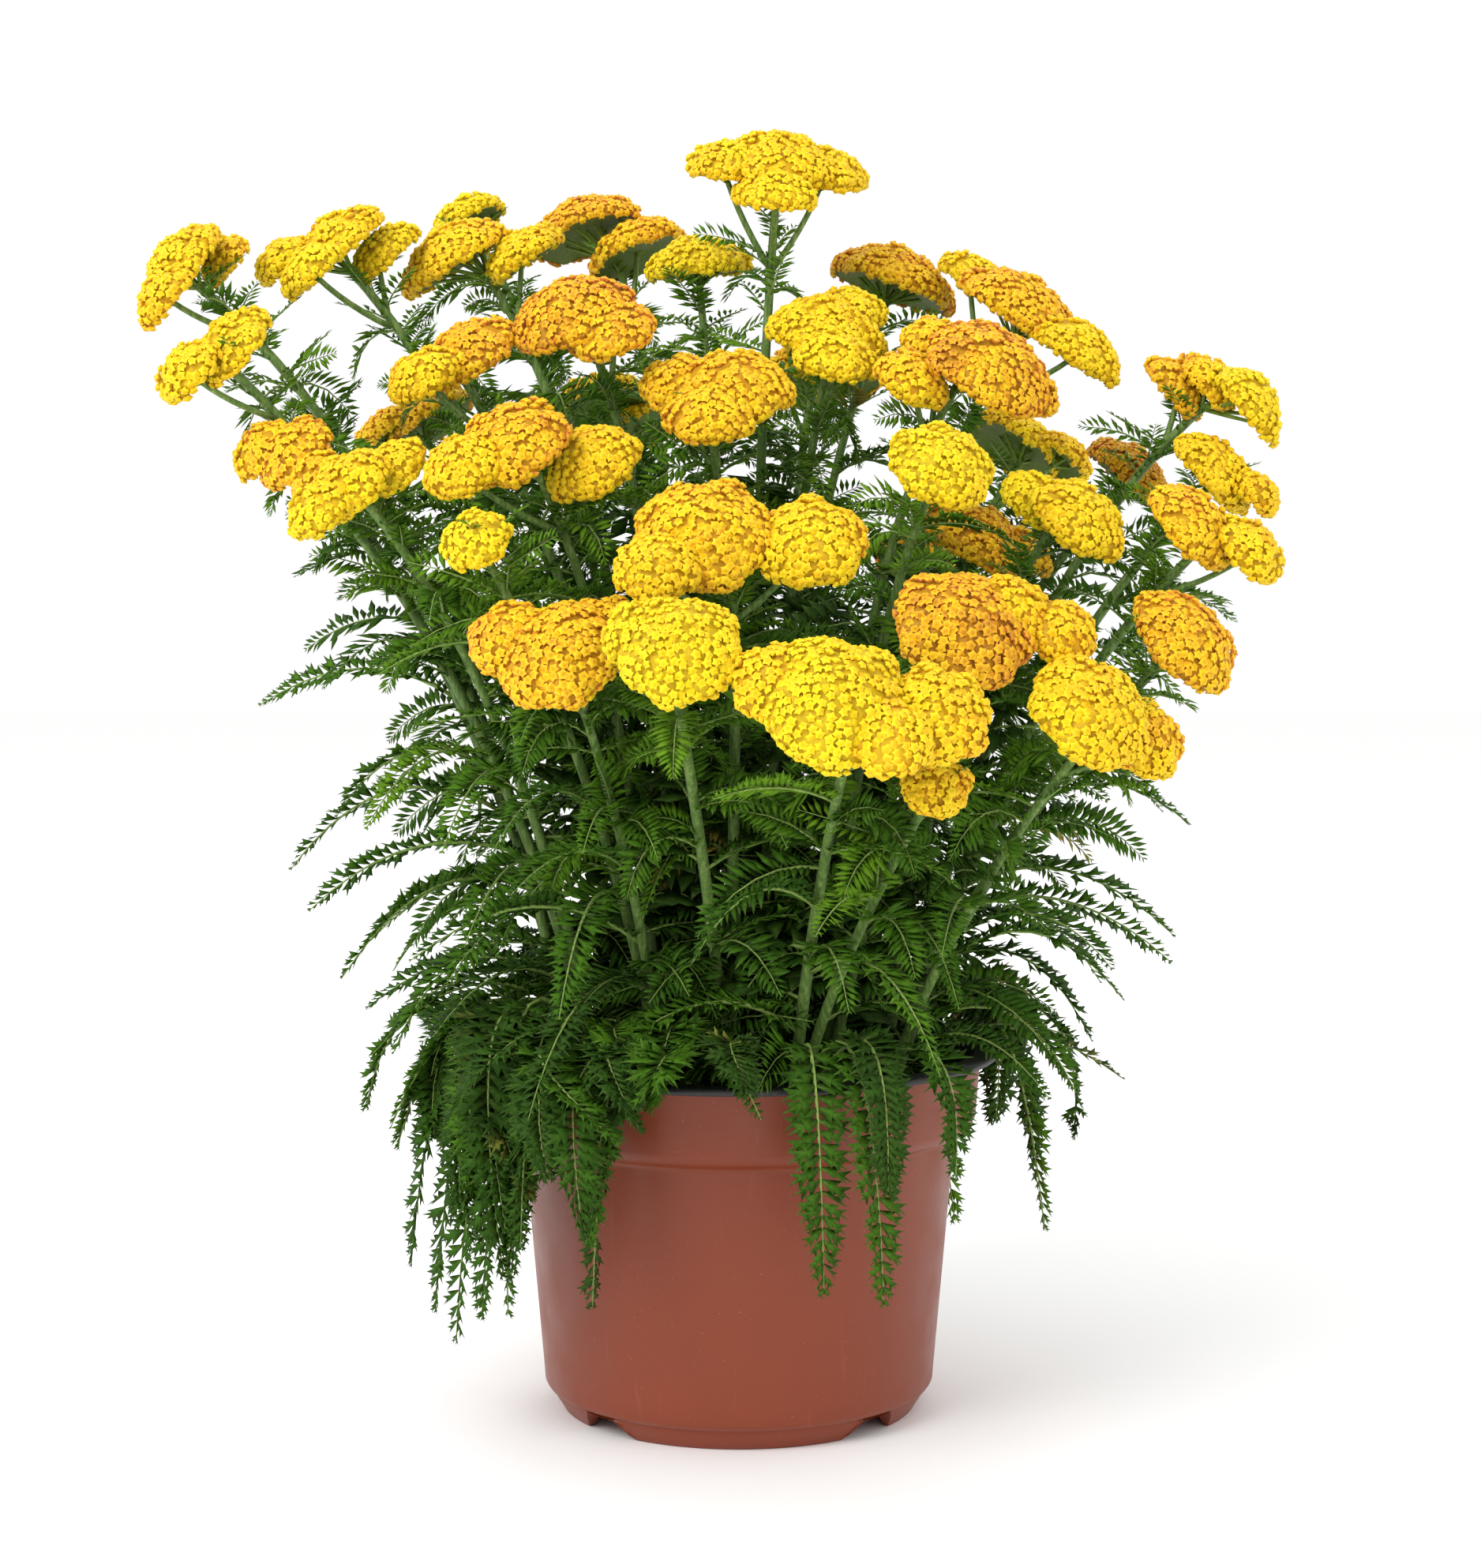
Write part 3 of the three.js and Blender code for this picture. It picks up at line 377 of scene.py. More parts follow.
# %% Branches to the side domes
BRANCH_REACH = 36.0  # how far below the stalk's top the first place for a branch is
LEAST_BRANCHED = 14.0  # the radius of the smallest side dome that has a branch
BRANCH_SUNK = 1.4
BRANCH_FACING = 0.35


def branch_lines(stalk):
    """From a free side of the stalk under the head to the underside of each larger side dome."""
    for u, v, _, radius in stalk.plane.spots[1:]:
        if radius < LEAST_BRANCHED:
            continue
        angle = math.atan2(v, u)
        share = math.hypot(u, v) / outline(stalk.plane, angle)[0]
        top = on_plane(stalk.plane, u, v, underside(stalk.plane, angle, share)[0] - BRANCH_SUNK)
        for reach in np.arange(BRANCH_REACH, BRANCH_REACH * 3, BRANCH_REACH / 4):
            up = 1 - reach / stalk.length
            foot = on_stalk(stalk.curve, up)
            site = free_site(stalk, up, top - foot, BRANCH_FACING)
            if site:
                stalk.free[site] = False
                stalk.branches.append((foot, top))
                break


for stalk in stalks:
    branch_lines(stalk)
print("branches:", sum(len(stalk.branches) for stalk in stalks))

# %% Beads and the test for a clear place
MOST_BEADS = 60000
STALK_BEAD, BRANCH_BEAD, HEAD_BEAD, RIB_BEAD, LEAFLET_BEAD = 3.8, 3.0, 5.5, 3.4, 3.0
FROM_SOIL, FROM_WALL, FROM_GROUND = 4, 6, 5  # how far leaves keep from soil and lip, wall and ground
SEARCH_MARGIN = 9  # more than any two beads' radii


class Beads:
    """Balls that fill the space already taken; clump -1 means that no leaf may touch them."""

    def __init__(self):
        """Starts with none."""
        self.place = np.zeros((MOST_BEADS, 3))
        self.radius = np.zeros(MOST_BEADS)
        self.clump = np.zeros(MOST_BEADS, int)
        self.count = 0

    def add(self, places, radius, clump=-1):
        """Takes rows of places, one radius or one for each, and the clump whose own leaves may touch them."""
        span = slice(self.count, self.count + len(places))
        self.place[span], self.radius[span], self.clump[span] = places, radius, clump
        self.count += len(places)

    def clear(self, places, radius, near_root, clump):
        """Whether all places lie above soil, lip and ground, and no two balls are closer than their radii."""
        out = np.hypot(places[:, 0], places[:, 1])
        lowest = np.where(out < COLLAR_FOOT_RADIUS - FROM_WALL, SOIL_RISE + FROM_SOIL,
                          np.where(out < LIP_RADIUS + FROM_SOIL, POT_HEIGHT + FROM_SOIL, FROM_GROUND))
        if (places[:, 2] < lowest).any():
            return False
        low, high = places.min(0) - SEARCH_MARGIN, places.max(0) + SEARCH_MARGIN
        held = self.place[:self.count]
        near = ((held > low) & (held < high)).all(1).nonzero()[0]
        apart2 = ((places[:, None] - held[near]) ** 2).sum(-1)
        touching = apart2 < (radius[:, None] + self.radius[near]) ** 2
        excused = near_root[:, None] & (self.clump[near] == clump)
        return not (touching & ~excused).any()


beads, head_beads = Beads(), Beads()
for stalk in stalks:
    count = math.floor(stalk.length / BEAD_SPACING + 0.5)
    beads.add([on_stalk(stalk.curve, i / count) for i in range(count + 1)], STALK_BEAD, stalk.clump)
    for foot, top in stalk.branches:
        beads.add(foot + (top - foot) * np.linspace(0, 1, 6)[:, None], BRANCH_BEAD, stalk.clump)
    angle, share = np.repeat(np.arange(16) * np.pi / 8, 3), np.tile([0.15, 0.5, 0.9], 16)
    out = outline(stalk.plane, angle) * share
    u, v = out * np.cos(angle), out * np.sin(angle)
    for held in (beads, head_beads):
        held.add(on_plane(stalk.plane, u, v, dome_heights(stalk.plane, u, v).max(-1)), HEAD_BEAD)
        held.add(on_plane(stalk.plane, u, v, underside(stalk.plane, angle, share)), HEAD_BEAD)
print("beads of stalks and heads:", beads.count)

# %% A leaf's rib and width
LEAFLET_SPACING = 23.0  # of the solid model's coarse leaflets
RIB_HALF_WIDTH, CUT_DEPTH = 1.3, 0.34
ROOT_STRETCH = 16  # so near its root, in millimetres, a leaf may touch its own clump
LEAF_FACING = 0.63


def new_leaf(stalk, rib, up, length, half_width, bare=0.0, twist=0.0):
    """A leaf: the curve of its rib, its place up its stalk, and its measures."""
    return SimpleNamespace(rib=rib, up=up, length=length, half_width=half_width, bare=bare, twist=twist,
                           owner=stalk.number)


def leaf_frame(leaf, share):
    """Place on the rib, and unit vectors ahead, left and square to the blade, turned by the leaf's twist."""
    share = np.asarray(share, float)
    place, ahead = bezier(leaf.rib, share), bezier_direction(leaf.rib, share)
    level = unit(np.stack([-ahead[..., 1], ahead[..., 0], np.zeros(ahead.shape[:-1])], -1))
    turn = (leaf.twist * share)[..., None]
    left = level * np.cos(turn) + np.cross(ahead, level) * np.sin(turn)
    return place, ahead, left, np.cross(ahead, left)


def leaf_half_width(leaf, share):
    """Half width times sin(pi along^0.75)^0.7: broadest before the middle, narrow at both ends."""
    along = (np.asarray(share) - leaf.bare) / (1 - leaf.bare)
    return leaf.half_width * np.sin(np.pi * (np.clip(along, 0, 1) * 0.96 + 0.04) ** 0.75) ** 0.7


def leaflet_count(leaf):
    """How many pairs of coarse leaflets the solid leaf has."""
    return max(3, math.floor(leaf.length * (1 - leaf.bare) / LEAFLET_SPACING + 0.5))


def rib_trail(leaf, stops):
    """Beads along the solid leaf's rib, which is straight between the stops, and their shares of it."""
    bends = np.concatenate([[0] if leaf.bare else [], stops, [1]])
    corners = bezier(leaf.rib, bends)
    places, shares = [], []
    for i in range(1, len(bends)):
        steps = math.ceil(np.linalg.norm(corners[i] - corners[i - 1]) / BEAD_SPACING)
        part = np.arange(1, steps + 1)[:, None] / steps
        places.append(corners[i - 1] + (corners[i] - corners[i - 1]) * part)
        shares.append(bends[i - 1] + (bends[i] - bends[i - 1]) * part[:, 0])
    return places, np.concatenate(shares)


def leaf_trail(leaf):
    """The beads of a leaf: along its stepped rib, and at the tip, edges and foot of each coarse leaflet."""
    count = leaflet_count(leaf)
    stops = leaf.bare + (1 - leaf.bare) * np.arange(count) / count
    places, shares = rib_trail(leaf, stops)
    place, _, left, _ = leaf_frame(leaf, stops)
    cut = np.where(stops > leaf.bare, leaf_half_width(leaf, stops) * CUT_DEPTH, RIB_HALF_WIDTH)
    middle, ahead, aside, face = leaf_frame(leaf, (stops[:-1] + stops[1:]) / 2)
    width = leaf_half_width(leaf, stops[:-1] + (stops[1:] - stops[:-1]) * 0.6)[:, None]
    leaflets = []
    for side in (1, -1):
        edge = place + left * (side * cut)[:, None]
        tip = middle + aside * side * width + ahead * width * 0.5 + face * width * 0.12
        foot = (edge[:-1] + edge[1:]) / 2
        leaflets += [tip, (edge[:-1] + tip) / 2, (edge[1:] + tip) / 2, foot + (tip - foot) * 0.3]
    places = np.concatenate(places + leaflets)
    near_root = np.concatenate([shares, np.tile(stops[:-1], len(leaflets))]) * leaf.length < ROOT_STRETCH
    return places, np.where(np.arange(len(places)) < len(shares), RIB_BEAD, LEAFLET_BEAD), near_root


def place_leaf(wanted, stalk):
    """Keeps the first of the wanted leaves that is clear and has a free side to grow from."""
    for leaf in wanted:
        start = bezier(leaf.rib, 1 / leaflet_count(leaf)) - leaf.rib[0]
        site = free_site(stalk, leaf.up, start, LEAF_FACING)
        if not site:
            continue
        places, radius, near_root = leaf_trail(leaf)
        if not beads.clear(places, radius, near_root, stalk.clump):
            continue
        stalk.free[site] = False
        beads.add(places, radius)
        leaves.append(leaf)
        return


# %% Walk up the stalks and keep the leaves that fit
MULTIPLIER, MODULUS = 16807, 2147483647
OVER_LIP = 13  # how high a hanging leaf's rib passes over the lip
seed = 20


def draw(low, high):
    """The next number of the layout's own fixed series, between low and high."""
    global seed
    seed = seed * MULTIPLIER % MODULUS
    return low + (high - low) * seed / MODULUS


def arching_rib(root, heading, length, slope, droop):
    """Rises at the slope for half its length, then bends over to the droop."""
    level = np.array([math.cos(heading), math.sin(heading), 0])
    knee = root + length * 0.5 * (level * math.cos(slope) + np.array([0, 0, math.sin(slope)]))
    tip = knee + length * 0.58 * (level * math.cos(droop) + np.array([0, 0, math.sin(droop)]))
    return np.array([root, knee, tip])


def hanging_rib(root, tip):
    """Rises over the pot's lip and hangs down outside it."""
    knee = [tip[0] * 1.05, tip[1] * 1.05, 2 * (POT_HEIGHT + OVER_LIP) - (root[2] + tip[2]) / 2]
    return np.array([root, knee, tip])


leaves = []
for owner, (x, y, z) in HANGING_LEAVES:
    stalk, wanted = stalks[owner], []
    for turn in TURNS_TRIED:
        sine, cosine = math.sin(turn * 0.3), math.cos(turn * 0.3)
        rib = hanging_rib(on_stalk(stalk.curve, HANGING_UP),
                          np.array([x * cosine - y * sine, x * sine + y * cosine, z]))
        wanted.append(new_leaf(stalk, rib, HANGING_UP, curve_length(rib), 12.0, HANGING_BARE))
    place_leaf(wanted, stalk)
for up, length, spread, slope, droop in LEAF_ROUNDS:
    for stalk in stalks:
        root = on_stalk(stalk.curve, up)
        outward = math.atan2(root[1], root[0]) + draw(-spread, spread)
        own_length = length * draw(0.85, 1.15)
        half_width = (6 + own_length / 16) * draw(0.9, 1.1)
        own_slope = slope + draw(-0.25, 0.25)
        own_droop = droop + draw(-0.3, 0.3)
        twist = draw(-1, 1)
        ribs = [arching_rib(root, outward + turn, own_length, own_slope, own_droop) for turn in TURNS_TRIED]
        place_leaf([new_leaf(stalk, rib, up, own_length, half_width, twist=twist) for rib in ribs], stalk)
solid_leaves = len(leaves)
print("leaves that the solid model has:", solid_leaves)

# %% [markdown]
# ## More leaves between
# A real stalk bears a leaf every two or three centimetres, with small ones up to its head, young leaves stand
# upright in the crown, and old ones hang over the pot's lip. Broad leaves that turn inwards close the plant's
# inside, in a dark green that is painted shade. All keep clear of the flower heads and of the pot, and may
# brush against each other as real ones do.

# %% The test for these leaves
LIGHT_BEHIND, LIGHT_HIGH = 90, 60
BOX_LOW = np.array(cad_low) * 1000 - POT_AXIS * 1000 + 3
BOX_HIGH = np.array(cad_high) * 1000 - POT_AXIS * 1000 - 3


def turned_to_light(leaf):
    """The twist, of several tried, whose blade faces most outwards, forwards and up at its middle."""
    place = bezier(leaf.rib, 0.6)
    light = unit([place[0], place[1] - LIGHT_BEHIND, LIGHT_HIGH])
    twists = np.linspace(-1.6, 1.6, 9) + rng.uniform(-0.3, 0.3)
    facing = [leaf_frame(SimpleNamespace(rib=leaf.rib, twist=np.array(twist)), 0.6)[3] @ light
              for twist in twists]
    return twists[int(np.argmax(facing))]


def try_leaf(stalk, up, length, rib, bare=0.0, half_width=None):
    """Adds a leaf if its beads are clear of heads and pot and it lies inside the plant's own box."""
    leaf = new_leaf(stalk, rib, up, length, half_width or 6.5 + length / 13, bare)
    if not bare:
        leaf.twist = turned_to_light(leaf)
    places, radius, near_root = leaf_trail(leaf)
    inside = (places > BOX_LOW).all() and (places < BOX_HIGH).all()
    if inside and head_beads.clear(places, radius, near_root, stalk.clump):
        leaves.append(leaf)


def try_arching_leaf(stalk, up, heading, length, slopes, droops, half_width=None):
    """A leaf that arches from the stalk, with its slope and droop drawn between these limits."""
    rib = arching_rib(on_stalk(stalk.curve, up), heading, length, rng.uniform(*slopes), rng.uniform(*droops))
    try_leaf(stalk, up, length, rib, half_width=half_width)


# %% Leaves up the stalks, upright crown leaves, leaves over the lip and inner leaves
MAIN_SPACING, UPPER_SPACING = 24, 15  # between leaves up the stalk, in millimetres
LONGEST_TIPS = [(34, -136, 82), (58, -131, 76), (-118, -82, 48), (-106, -96, 62), (-128, -68, 58),
                (-93, -106, 80), (-74, -114, 76), (-140, -50, 74)]


def leaf_stalk(stalk):
    """Leaves that shrink up the stalk, smaller ones near its head, and two young ones in the crown."""
    heading = rng.uniform(0, 2 * math.pi)
    for up in np.arange(0.08, 0.93, MAIN_SPACING / stalk.length):
        length = rng.uniform(0.8, 1.15) * (82 - 40 * up)
        heading += LEAF_TURN
        try_arching_leaf(stalk, up, heading, length, (0.1, 0.7), (-1.35, -0.5))
    for up in np.arange(0.56, 0.96, UPPER_SPACING / stalk.length):
        length = rng.uniform(26, 42)
        heading += LEAF_TURN
        try_arching_leaf(stalk, up, heading, length, (0.3, 1.0), (-0.5, 0.5))
    for _ in range(2):
        up = rng.uniform(0.03, 0.1)
        root = on_stalk(stalk.curve, up)
        length = rng.uniform(62, 105)
        turn = math.atan2(root[1], root[0]) + rng.uniform(-1.6, 1.6)
        try_arching_leaf(stalk, up, turn, length, (0.7, 1.2), (-1.0, -0.1))


def nearest_stalk(tip):
    """The stalk whose foot lies nearest below the tip."""
    return min(stalks, key=lambda stalk: np.hypot(*(on_stalk(stalk.curve, 0.05) - tip)[:2]))


def hang_leaf(heading):
    """A leaf over the lip, towards the heading: it reaches out and down by random shares and swings aside."""
    drop = rng.uniform(0, 1) ** (0.9 if heading < -2 else 1.7)
    out = rng.uniform(122, 175 - 40 * drop)
    tip = np.array([out * math.cos(heading), out * math.sin(heading), 165 - 110 * drop])
    stalk = nearest_stalk(tip)
    rib = hanging_rib(on_stalk(stalk.curve, rng.uniform(0.03, 0.12)), tip)
    swing = rng.normal(0, 0.22)
    rib[1, :2] = rib[1, :2] @ [[math.cos(swing), -math.sin(swing)], [math.sin(swing), math.cos(swing)]]
    rib[1] *= [*[rng.uniform(0.78, 1.05)] * 2, rng.uniform(0.97, 1.12)]
    try_leaf(stalk, 0.05, curve_length(rib), rib, HANGING_BARE, rng.uniform(11.5, 16))


for stalk in stalks:
    leaf_stalk(stalk)
for heading in [*rng.normal(-2.3, 0.36, 60), *rng.uniform(-1.6, -1.1, 5), *rng.uniform(-0.3, 3.8, 40)]:
    hang_leaf(heading)
for tip in LONGEST_TIPS:
    stalk = nearest_stalk(tip)
    rib = hanging_rib(on_stalk(stalk.curve, 0.08), np.array(tip))
    rib[1, :2] *= 0.86
    try_leaf(stalk, 0.05, curve_length(rib), rib, HANGING_BARE, 14)
first_inner = len(leaves)
for stalk in stalks:
    for up in np.linspace(0.1, 0.62, 6):
        root = on_stalk(stalk.curve, up)
        length = rng.uniform(55, 85)
        inward = math.atan2(-root[1], -root[0]) + rng.uniform(-0.9, 0.9)
        try_arching_leaf(stalk, up, inward, length, (0, 0.6), (-0.9, -0.1), 15)
print("leaves in all:", len(leaves), "of which", len(leaves) - first_inner, "fill the inside")

# %% [markdown]
# ## From arrays to objects
# Every part of the plant is built as rows of points with the faces over them. Each point also carries a place
# on a small colour chart: how old or green the part is, and how far it lies from its root. The materials read
# the chart, so that one material colours thousands of petals, each in its own shade.

# %% Shapes made of arrays
class Shape:
    """Points in millimetres with their places on the colour chart, and faces with their material's number."""

    def __init__(self):
        """Starts empty."""
        self.points, self.chart, self.loops, self.sizes, self.looks = [], [], [], [], []
        self.total = 0

    def add(self, points, chart, faces, look=0):
        """Takes points (n, 3), chart (n, 2), a list of face arrays, each (m, corners), and their looks."""
        self.points.append(points.reshape(-1, 3))
        self.chart.append(np.broadcast_to(chart, (*points.shape[:-1], 2)).reshape(-1, 2))
        for block, own_look in zip(faces, np.broadcast_to(look, len(faces))):
            self.loops.append((block + self.total).ravel())
            self.sizes.append(np.full(len(block), block.shape[1]))
            self.looks.append(np.full(len(block), own_look))
        self.total += self.points[-1].shape[0]


def repeated(faces, count, stride):
    """The same faces for each of many equal parts, whose points follow each other."""
    return [(block[None] + np.arange(count)[:, None, None] * stride).reshape(-1, block.shape[1])
            for block in faces]


def fan(ring, after, point):
    """Triangles from each pair of neighbours on a ring to one point."""
    return np.stack([ring, after, np.full(len(ring), point)], 1)


def make_piece(name, shape, nodes, materials, smooth=True):
    """Makes the object in metres at the frame's origin, riding on the one body."""
    points = np.clip(np.concatenate(shape.points) / 1000 + POT_AXIS, cad_low, cad_high)
    loops, sizes = np.concatenate(shape.loops), np.concatenate(shape.sizes)
    mesh = bpy.data.meshes.new(name)
    mesh.vertices.add(len(points))
    mesh.vertices.foreach_set("co", points.astype(np.float32).ravel())
    mesh.loops.add(len(loops))
    mesh.loops.foreach_set("vertex_index", loops.astype(np.int32))
    mesh.polygons.add(len(sizes))
    mesh.polygons.foreach_set("loop_start", (np.cumsum(sizes) - sizes).astype(np.int32))
    mesh.polygons.foreach_set("material_index", np.concatenate(shape.looks).astype(np.int32))
    mesh.uv_layers.new(name="OFBake").data.foreach_set(
        "uv", np.concatenate(shape.chart)[loops].astype(np.float32).ravel())
    mesh.polygons.foreach_set("use_smooth", np.full(len(sizes), smooth))
    mesh.update(calc_edges=True)
    for material in materials:
        mesh.materials.append(material)
    piece = bpy.data.objects.new(name, mesh)
    bpy.context.collection.objects.link(piece)
    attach(piece, "root")
    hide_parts(*nodes)
    return piece


def count_triangles(pieces):
    """A face with n corners counts as n - 2 triangles."""
    return sum(len(piece.data.loops) - 2 * len(piece.data.polygons) for piece in pieces)


# %% Tubes round lines
NEARLY_UP = [0.01, 0.003, 1]  # no tube runs exactly this way, so it can be crossed with each tube's direction


def tube_faces(steps, sides):
    """Quads between the rings of one tube, and a cap at either end."""
    ring = np.arange(sides)
    here = np.arange(steps - 1)[:, None] * sides + ring
    beyond = np.arange(steps - 1)[:, None] * sides + (ring + 1) % sides
    quads = np.stack([here, beyond, beyond + sides, here + sides], -1).reshape(-1, 4)
    return [quads, ring[None, ::-1], ring[None] + (steps - 1) * sides]


def add_tubes(shape, lines, radii, sides, chart, look=0, ridge=0.0):
    """Rings square to each line. A ridge of 0.1 makes every second corner stand out by a tenth.

    lines is (tubes, steps, 3), radii and chart fit (tubes, steps). The chart is spread a little round the
    ring, so that every face covers some of it."""
    ahead = unit(np.gradient(lines, axis=1))
    across = unit(np.cross(lines[:, -1] - lines[:, 0], NEARLY_UP))[:, None]
    across = unit(across - ahead * (ahead * across).sum(-1, keepdims=True))
    aside = np.cross(ahead, across)
    angle = np.arange(sides) * 2 * np.pi / sides
    ring = (across[:, :, None] * np.cos(angle)[:, None] + aside[:, :, None] * np.sin(angle)[:, None])
    radii = np.broadcast_to(radii, lines.shape[:2])[..., None] * (1 + ridge * np.cos(angle * sides / 2))
    points = lines[:, :, None] + ring * radii[..., None]
    chart = np.broadcast_to(chart, (*lines.shape[:2], 2))[:, :, None] + np.stack(
        [0.01 * np.cos(angle), 0.002 * np.sin(angle)], -1)
    faces = repeated(tube_faces(lines.shape[1], sides), len(lines), lines.shape[1] * sides)
    shape.add(points, chart, faces, look)


# %% [markdown]
# ## Cut leaves
# A yarrow leaf is cut to the rib twice: pairs of leaflets stand along the rib, and each is cut again into
# pointed lobes. One leaflet is drawn once, as a thin closed shape that is thickest along its middle, and set
# along the ribs of all leaves at once, turned a little at random so that the leaf looks crisp. The smaller
# and the more hidden a leaf is, the fewer lobes its leaflets have.

# %% One leaflet
# the upper edge, from the leaflet's root to its tip, which is 1 long: along, across and up
TWO_LOBES = [(0.02, 0.04, 0), (0.52, 0.26, 0.12), (0.42, 0.06, 0), (0.83, 0.25, 0.10), (0.70, 0.05, 0)]
ONE_LOBE = [(0.25, 0.09, 0), (0.70, 0.25, 0.08), (0.62, 0.07, 0)]
NO_LOBE = [(0.50, 0.13, 0.04)]
BROAD = [(0.50, 0.27, 0.04)]
MIDDLE_ALONG, THICKNESS, TIP_DROOP = 0.42, 0.035, 0.06


def leaflet_shape(edge):
    """A root, a tip and both edges, joined to a middle point above them and to one below."""
    edge = np.array(edge)
    count = len(edge)
    middle = [(MIDDLE_ALONG, 0, THICKNESS), (MIDDLE_ALONG, 0, -THICKNESS)]
    points = np.concatenate([[(0, 0, 0), (1, 0, -TIP_DROOP)], edge, edge * [1, -1, 1], middle])
    rim = np.array([0, *(2 + np.arange(count)), 1, *(1 + 2 * count - np.arange(count))])
    after = np.roll(rim, -1)
    above, below = (np.full(len(rim), 2 * count + k) for k in (2, 3))
    return points, np.concatenate([np.stack([above, after, rim], 1), np.stack([below, rim, after], 1)])


print("triangles in a leaflet:", *(len(leaflet_shape(edge)[1]) for edge in (TWO_LOBES, ONE_LOBE, NO_LOBE)))

# %% Leaflets along all ribs
LEAFLET_REACH = 1.12  # a leaflet's length, as a share of its leaf's half width


def even_shares(many, along):
    """The ribs' shares at which these parts of the length beyond their bare stretch are reached."""
    shares = many.bare + (1 - many.bare) * np.linspace(0, 1, 41)
    steps = np.linalg.norm(np.diff(bezier(many.rib, shares), axis=1), axis=-1)
    reached = np.concatenate([np.zeros((len(steps), 1)), np.cumsum(steps, 1)], 1)
    reached /= reached[:, -1:]
    return np.array([np.interp(along, *row) for row in zip(reached, shares)])


def gathered(group):
    """The ribs and measures of several leaves as arrays, with a row for each leaf."""
    many = SimpleNamespace(rib=np.array([leaf.rib for leaf in group]).transpose(1, 0, 2)[:, :, None])
    for name in ("bare", "twist", "half_width", "tone", "length"):
        setattr(many, name, np.array([getattr(leaf, name) for leaf in group])[:, None])
    return many


def add_leaflets(shape, many, pairs, edge):
    """Sets two leaflets at each of many places along each rib.

    A leaflet points sideways and, more and more towards the leaf's tip, ahead. Its length is LEAFLET_REACH
    times the half width, taken to a power so that the leaf ends bluntly, and a random share. It is rolled
    about its own middle line by a small random angle."""
    along = (np.arange(pairs) + 0.7) / pairs
    share = even_shares(many, 0.03 + 0.955 * along * (pairs / (pairs - 0.3)))
    place, ahead, left, face = (part[:, :, None] for part in leaf_frame(many, share))
    size = (len(share), pairs, 2)
    side = np.array([1, -1])[:, None]
    blunter = np.where(many.bare > 0, 0.4, 0.65)
    fullness = (leaf_half_width(many, share) / many.half_width) ** blunter * many.half_width
    length = fullness[..., None] * LEAFLET_REACH * rng.uniform(0.85, 1.15, size)
    forward = (0.4 + 0.3 * along + 1.3 * along**6)[:, None, None] + rng.normal(0, 0.08, (*size, 1))
    out = unit(left * side + ahead * forward + face * rng.normal(0.18, 0.16, (*size, 1)))
    across = unit(ahead - out * (ahead * out).sum(-1, keepdims=True))
    square = -side * np.cross(out, across)
    roll = rng.normal(0.1, 0.3, (*size, 1))
    across, square = (across * np.cos(roll) + square * np.sin(roll),
                      square * np.cos(roll) - across * np.sin(roll))
    form, faces = leaflet_shape(edge)
    x, y, z = form.T[..., None]
    points = place[..., None, :] + length[..., None, None] * (
        out[..., None, :] * x + across[..., None, :] * y + square[..., None, :] * z)
    tone = np.clip(many.tone[..., None] + rng.normal(0, 0.02, size), 0.02, 0.98)[..., None]
    chart = np.stack(np.broadcast_arrays(tone + 0.02 * form[:, 1], 0.02 + 0.7 * form[:, 0]), -1)
    pair = np.concatenate([faces[:, ::-1], faces + len(form)])
    shape.add(points, chart, repeated([pair], len(share) * pairs, 2 * len(form)), LEAF_LOOK)


def add_leaves(shape, group, pairs, edge, rib_steps):
    """Leaflets along the ribs of these leaves, and the ribs as three-sided tubes that taper to the tip."""
    if not group:
        return
    many = gathered(group)
    add_leaflets(shape, many, pairs, edge)
    steps = np.linspace(0, 1, rib_steps + 1)
    lines = leaf_frame(many, np.broadcast_to(steps, (len(group), rib_steps + 1)))[0]
    thick = (0.45 + many.length / 150) * (1 - 0.8 * steps)
    rib_chart = np.stack(np.broadcast_arrays(many.tone, 0.76 + 0.04 * steps), -1)
    add_tubes(shape, lines, thick, 3, rib_chart, LEAF_LOOK)


# %% How each kind of leaf is cut, and how green it is
STALK_LOOK, LEAF_LOOK = 0, 1
# the inner leaves' tone is a dark green, painted shade for the plant's shaded inside
INNER_SHADE_TONE, YELLOWED_TONE, YELLOWED_SHARE = 0.8, 0.96, 0.008
# for each kind of leaf: pairs of leaflets, the leaflet's edge, and steps along the rib
LEAF_CUTS = {"hanging": (22, TWO_LOBES, 12), "long": (29, ONE_LOBE, 10), "middling": (22, ONE_LOBE, 8),
             "inner": (8, BROAD, 3), "small": (22, NO_LOBE, 6), "smallest": (14, NO_LOBE, 4)}
BRACT_CUT = (9, NO_LOBE, 3)


def kind_of(number, leaf):
    """Which row of LEAF_CUTS fits the leaf, by its place in the list and its length."""
    if leaf.bare:
        return "hanging"
    if number < solid_leaves:
        return "long" if leaf.length >= 88 else "middling"
    if number >= first_inner:
        return "inner"
    return "small" if leaf.length >= 45 else "smallest"


for number, leaf in enumerate(leaves):
    leaf.kind = kind_of(number, leaf)
    leaf.tone = np.clip(0.16 + 0.5 * (1 - leaf.up) + rng.normal(0, 0.13), 0.03, 0.86)
    # inner leaves take the dark green of painted shade
    if leaf.kind == "inner":
        leaf.tone = INNER_SHADE_TONE
    elif rng.random() < YELLOWED_SHARE:
        leaf.tone = YELLOWED_TONE
print("leaves:", {kind: sum(leaf.kind == kind for leaf in leaves) for kind in LEAF_CUTS})

# %% [markdown]
# ## Materials of the green parts
# Colours come from the chart: u runs from young yellow-green through mid green to dark green, with yellowed
# leaves at its far end, and v runs from a leaflet's root to its tip. Fine hairs give the stalk a soft sheen.
# Every material of the plant takes its small differences in colour and height from one shared node group.

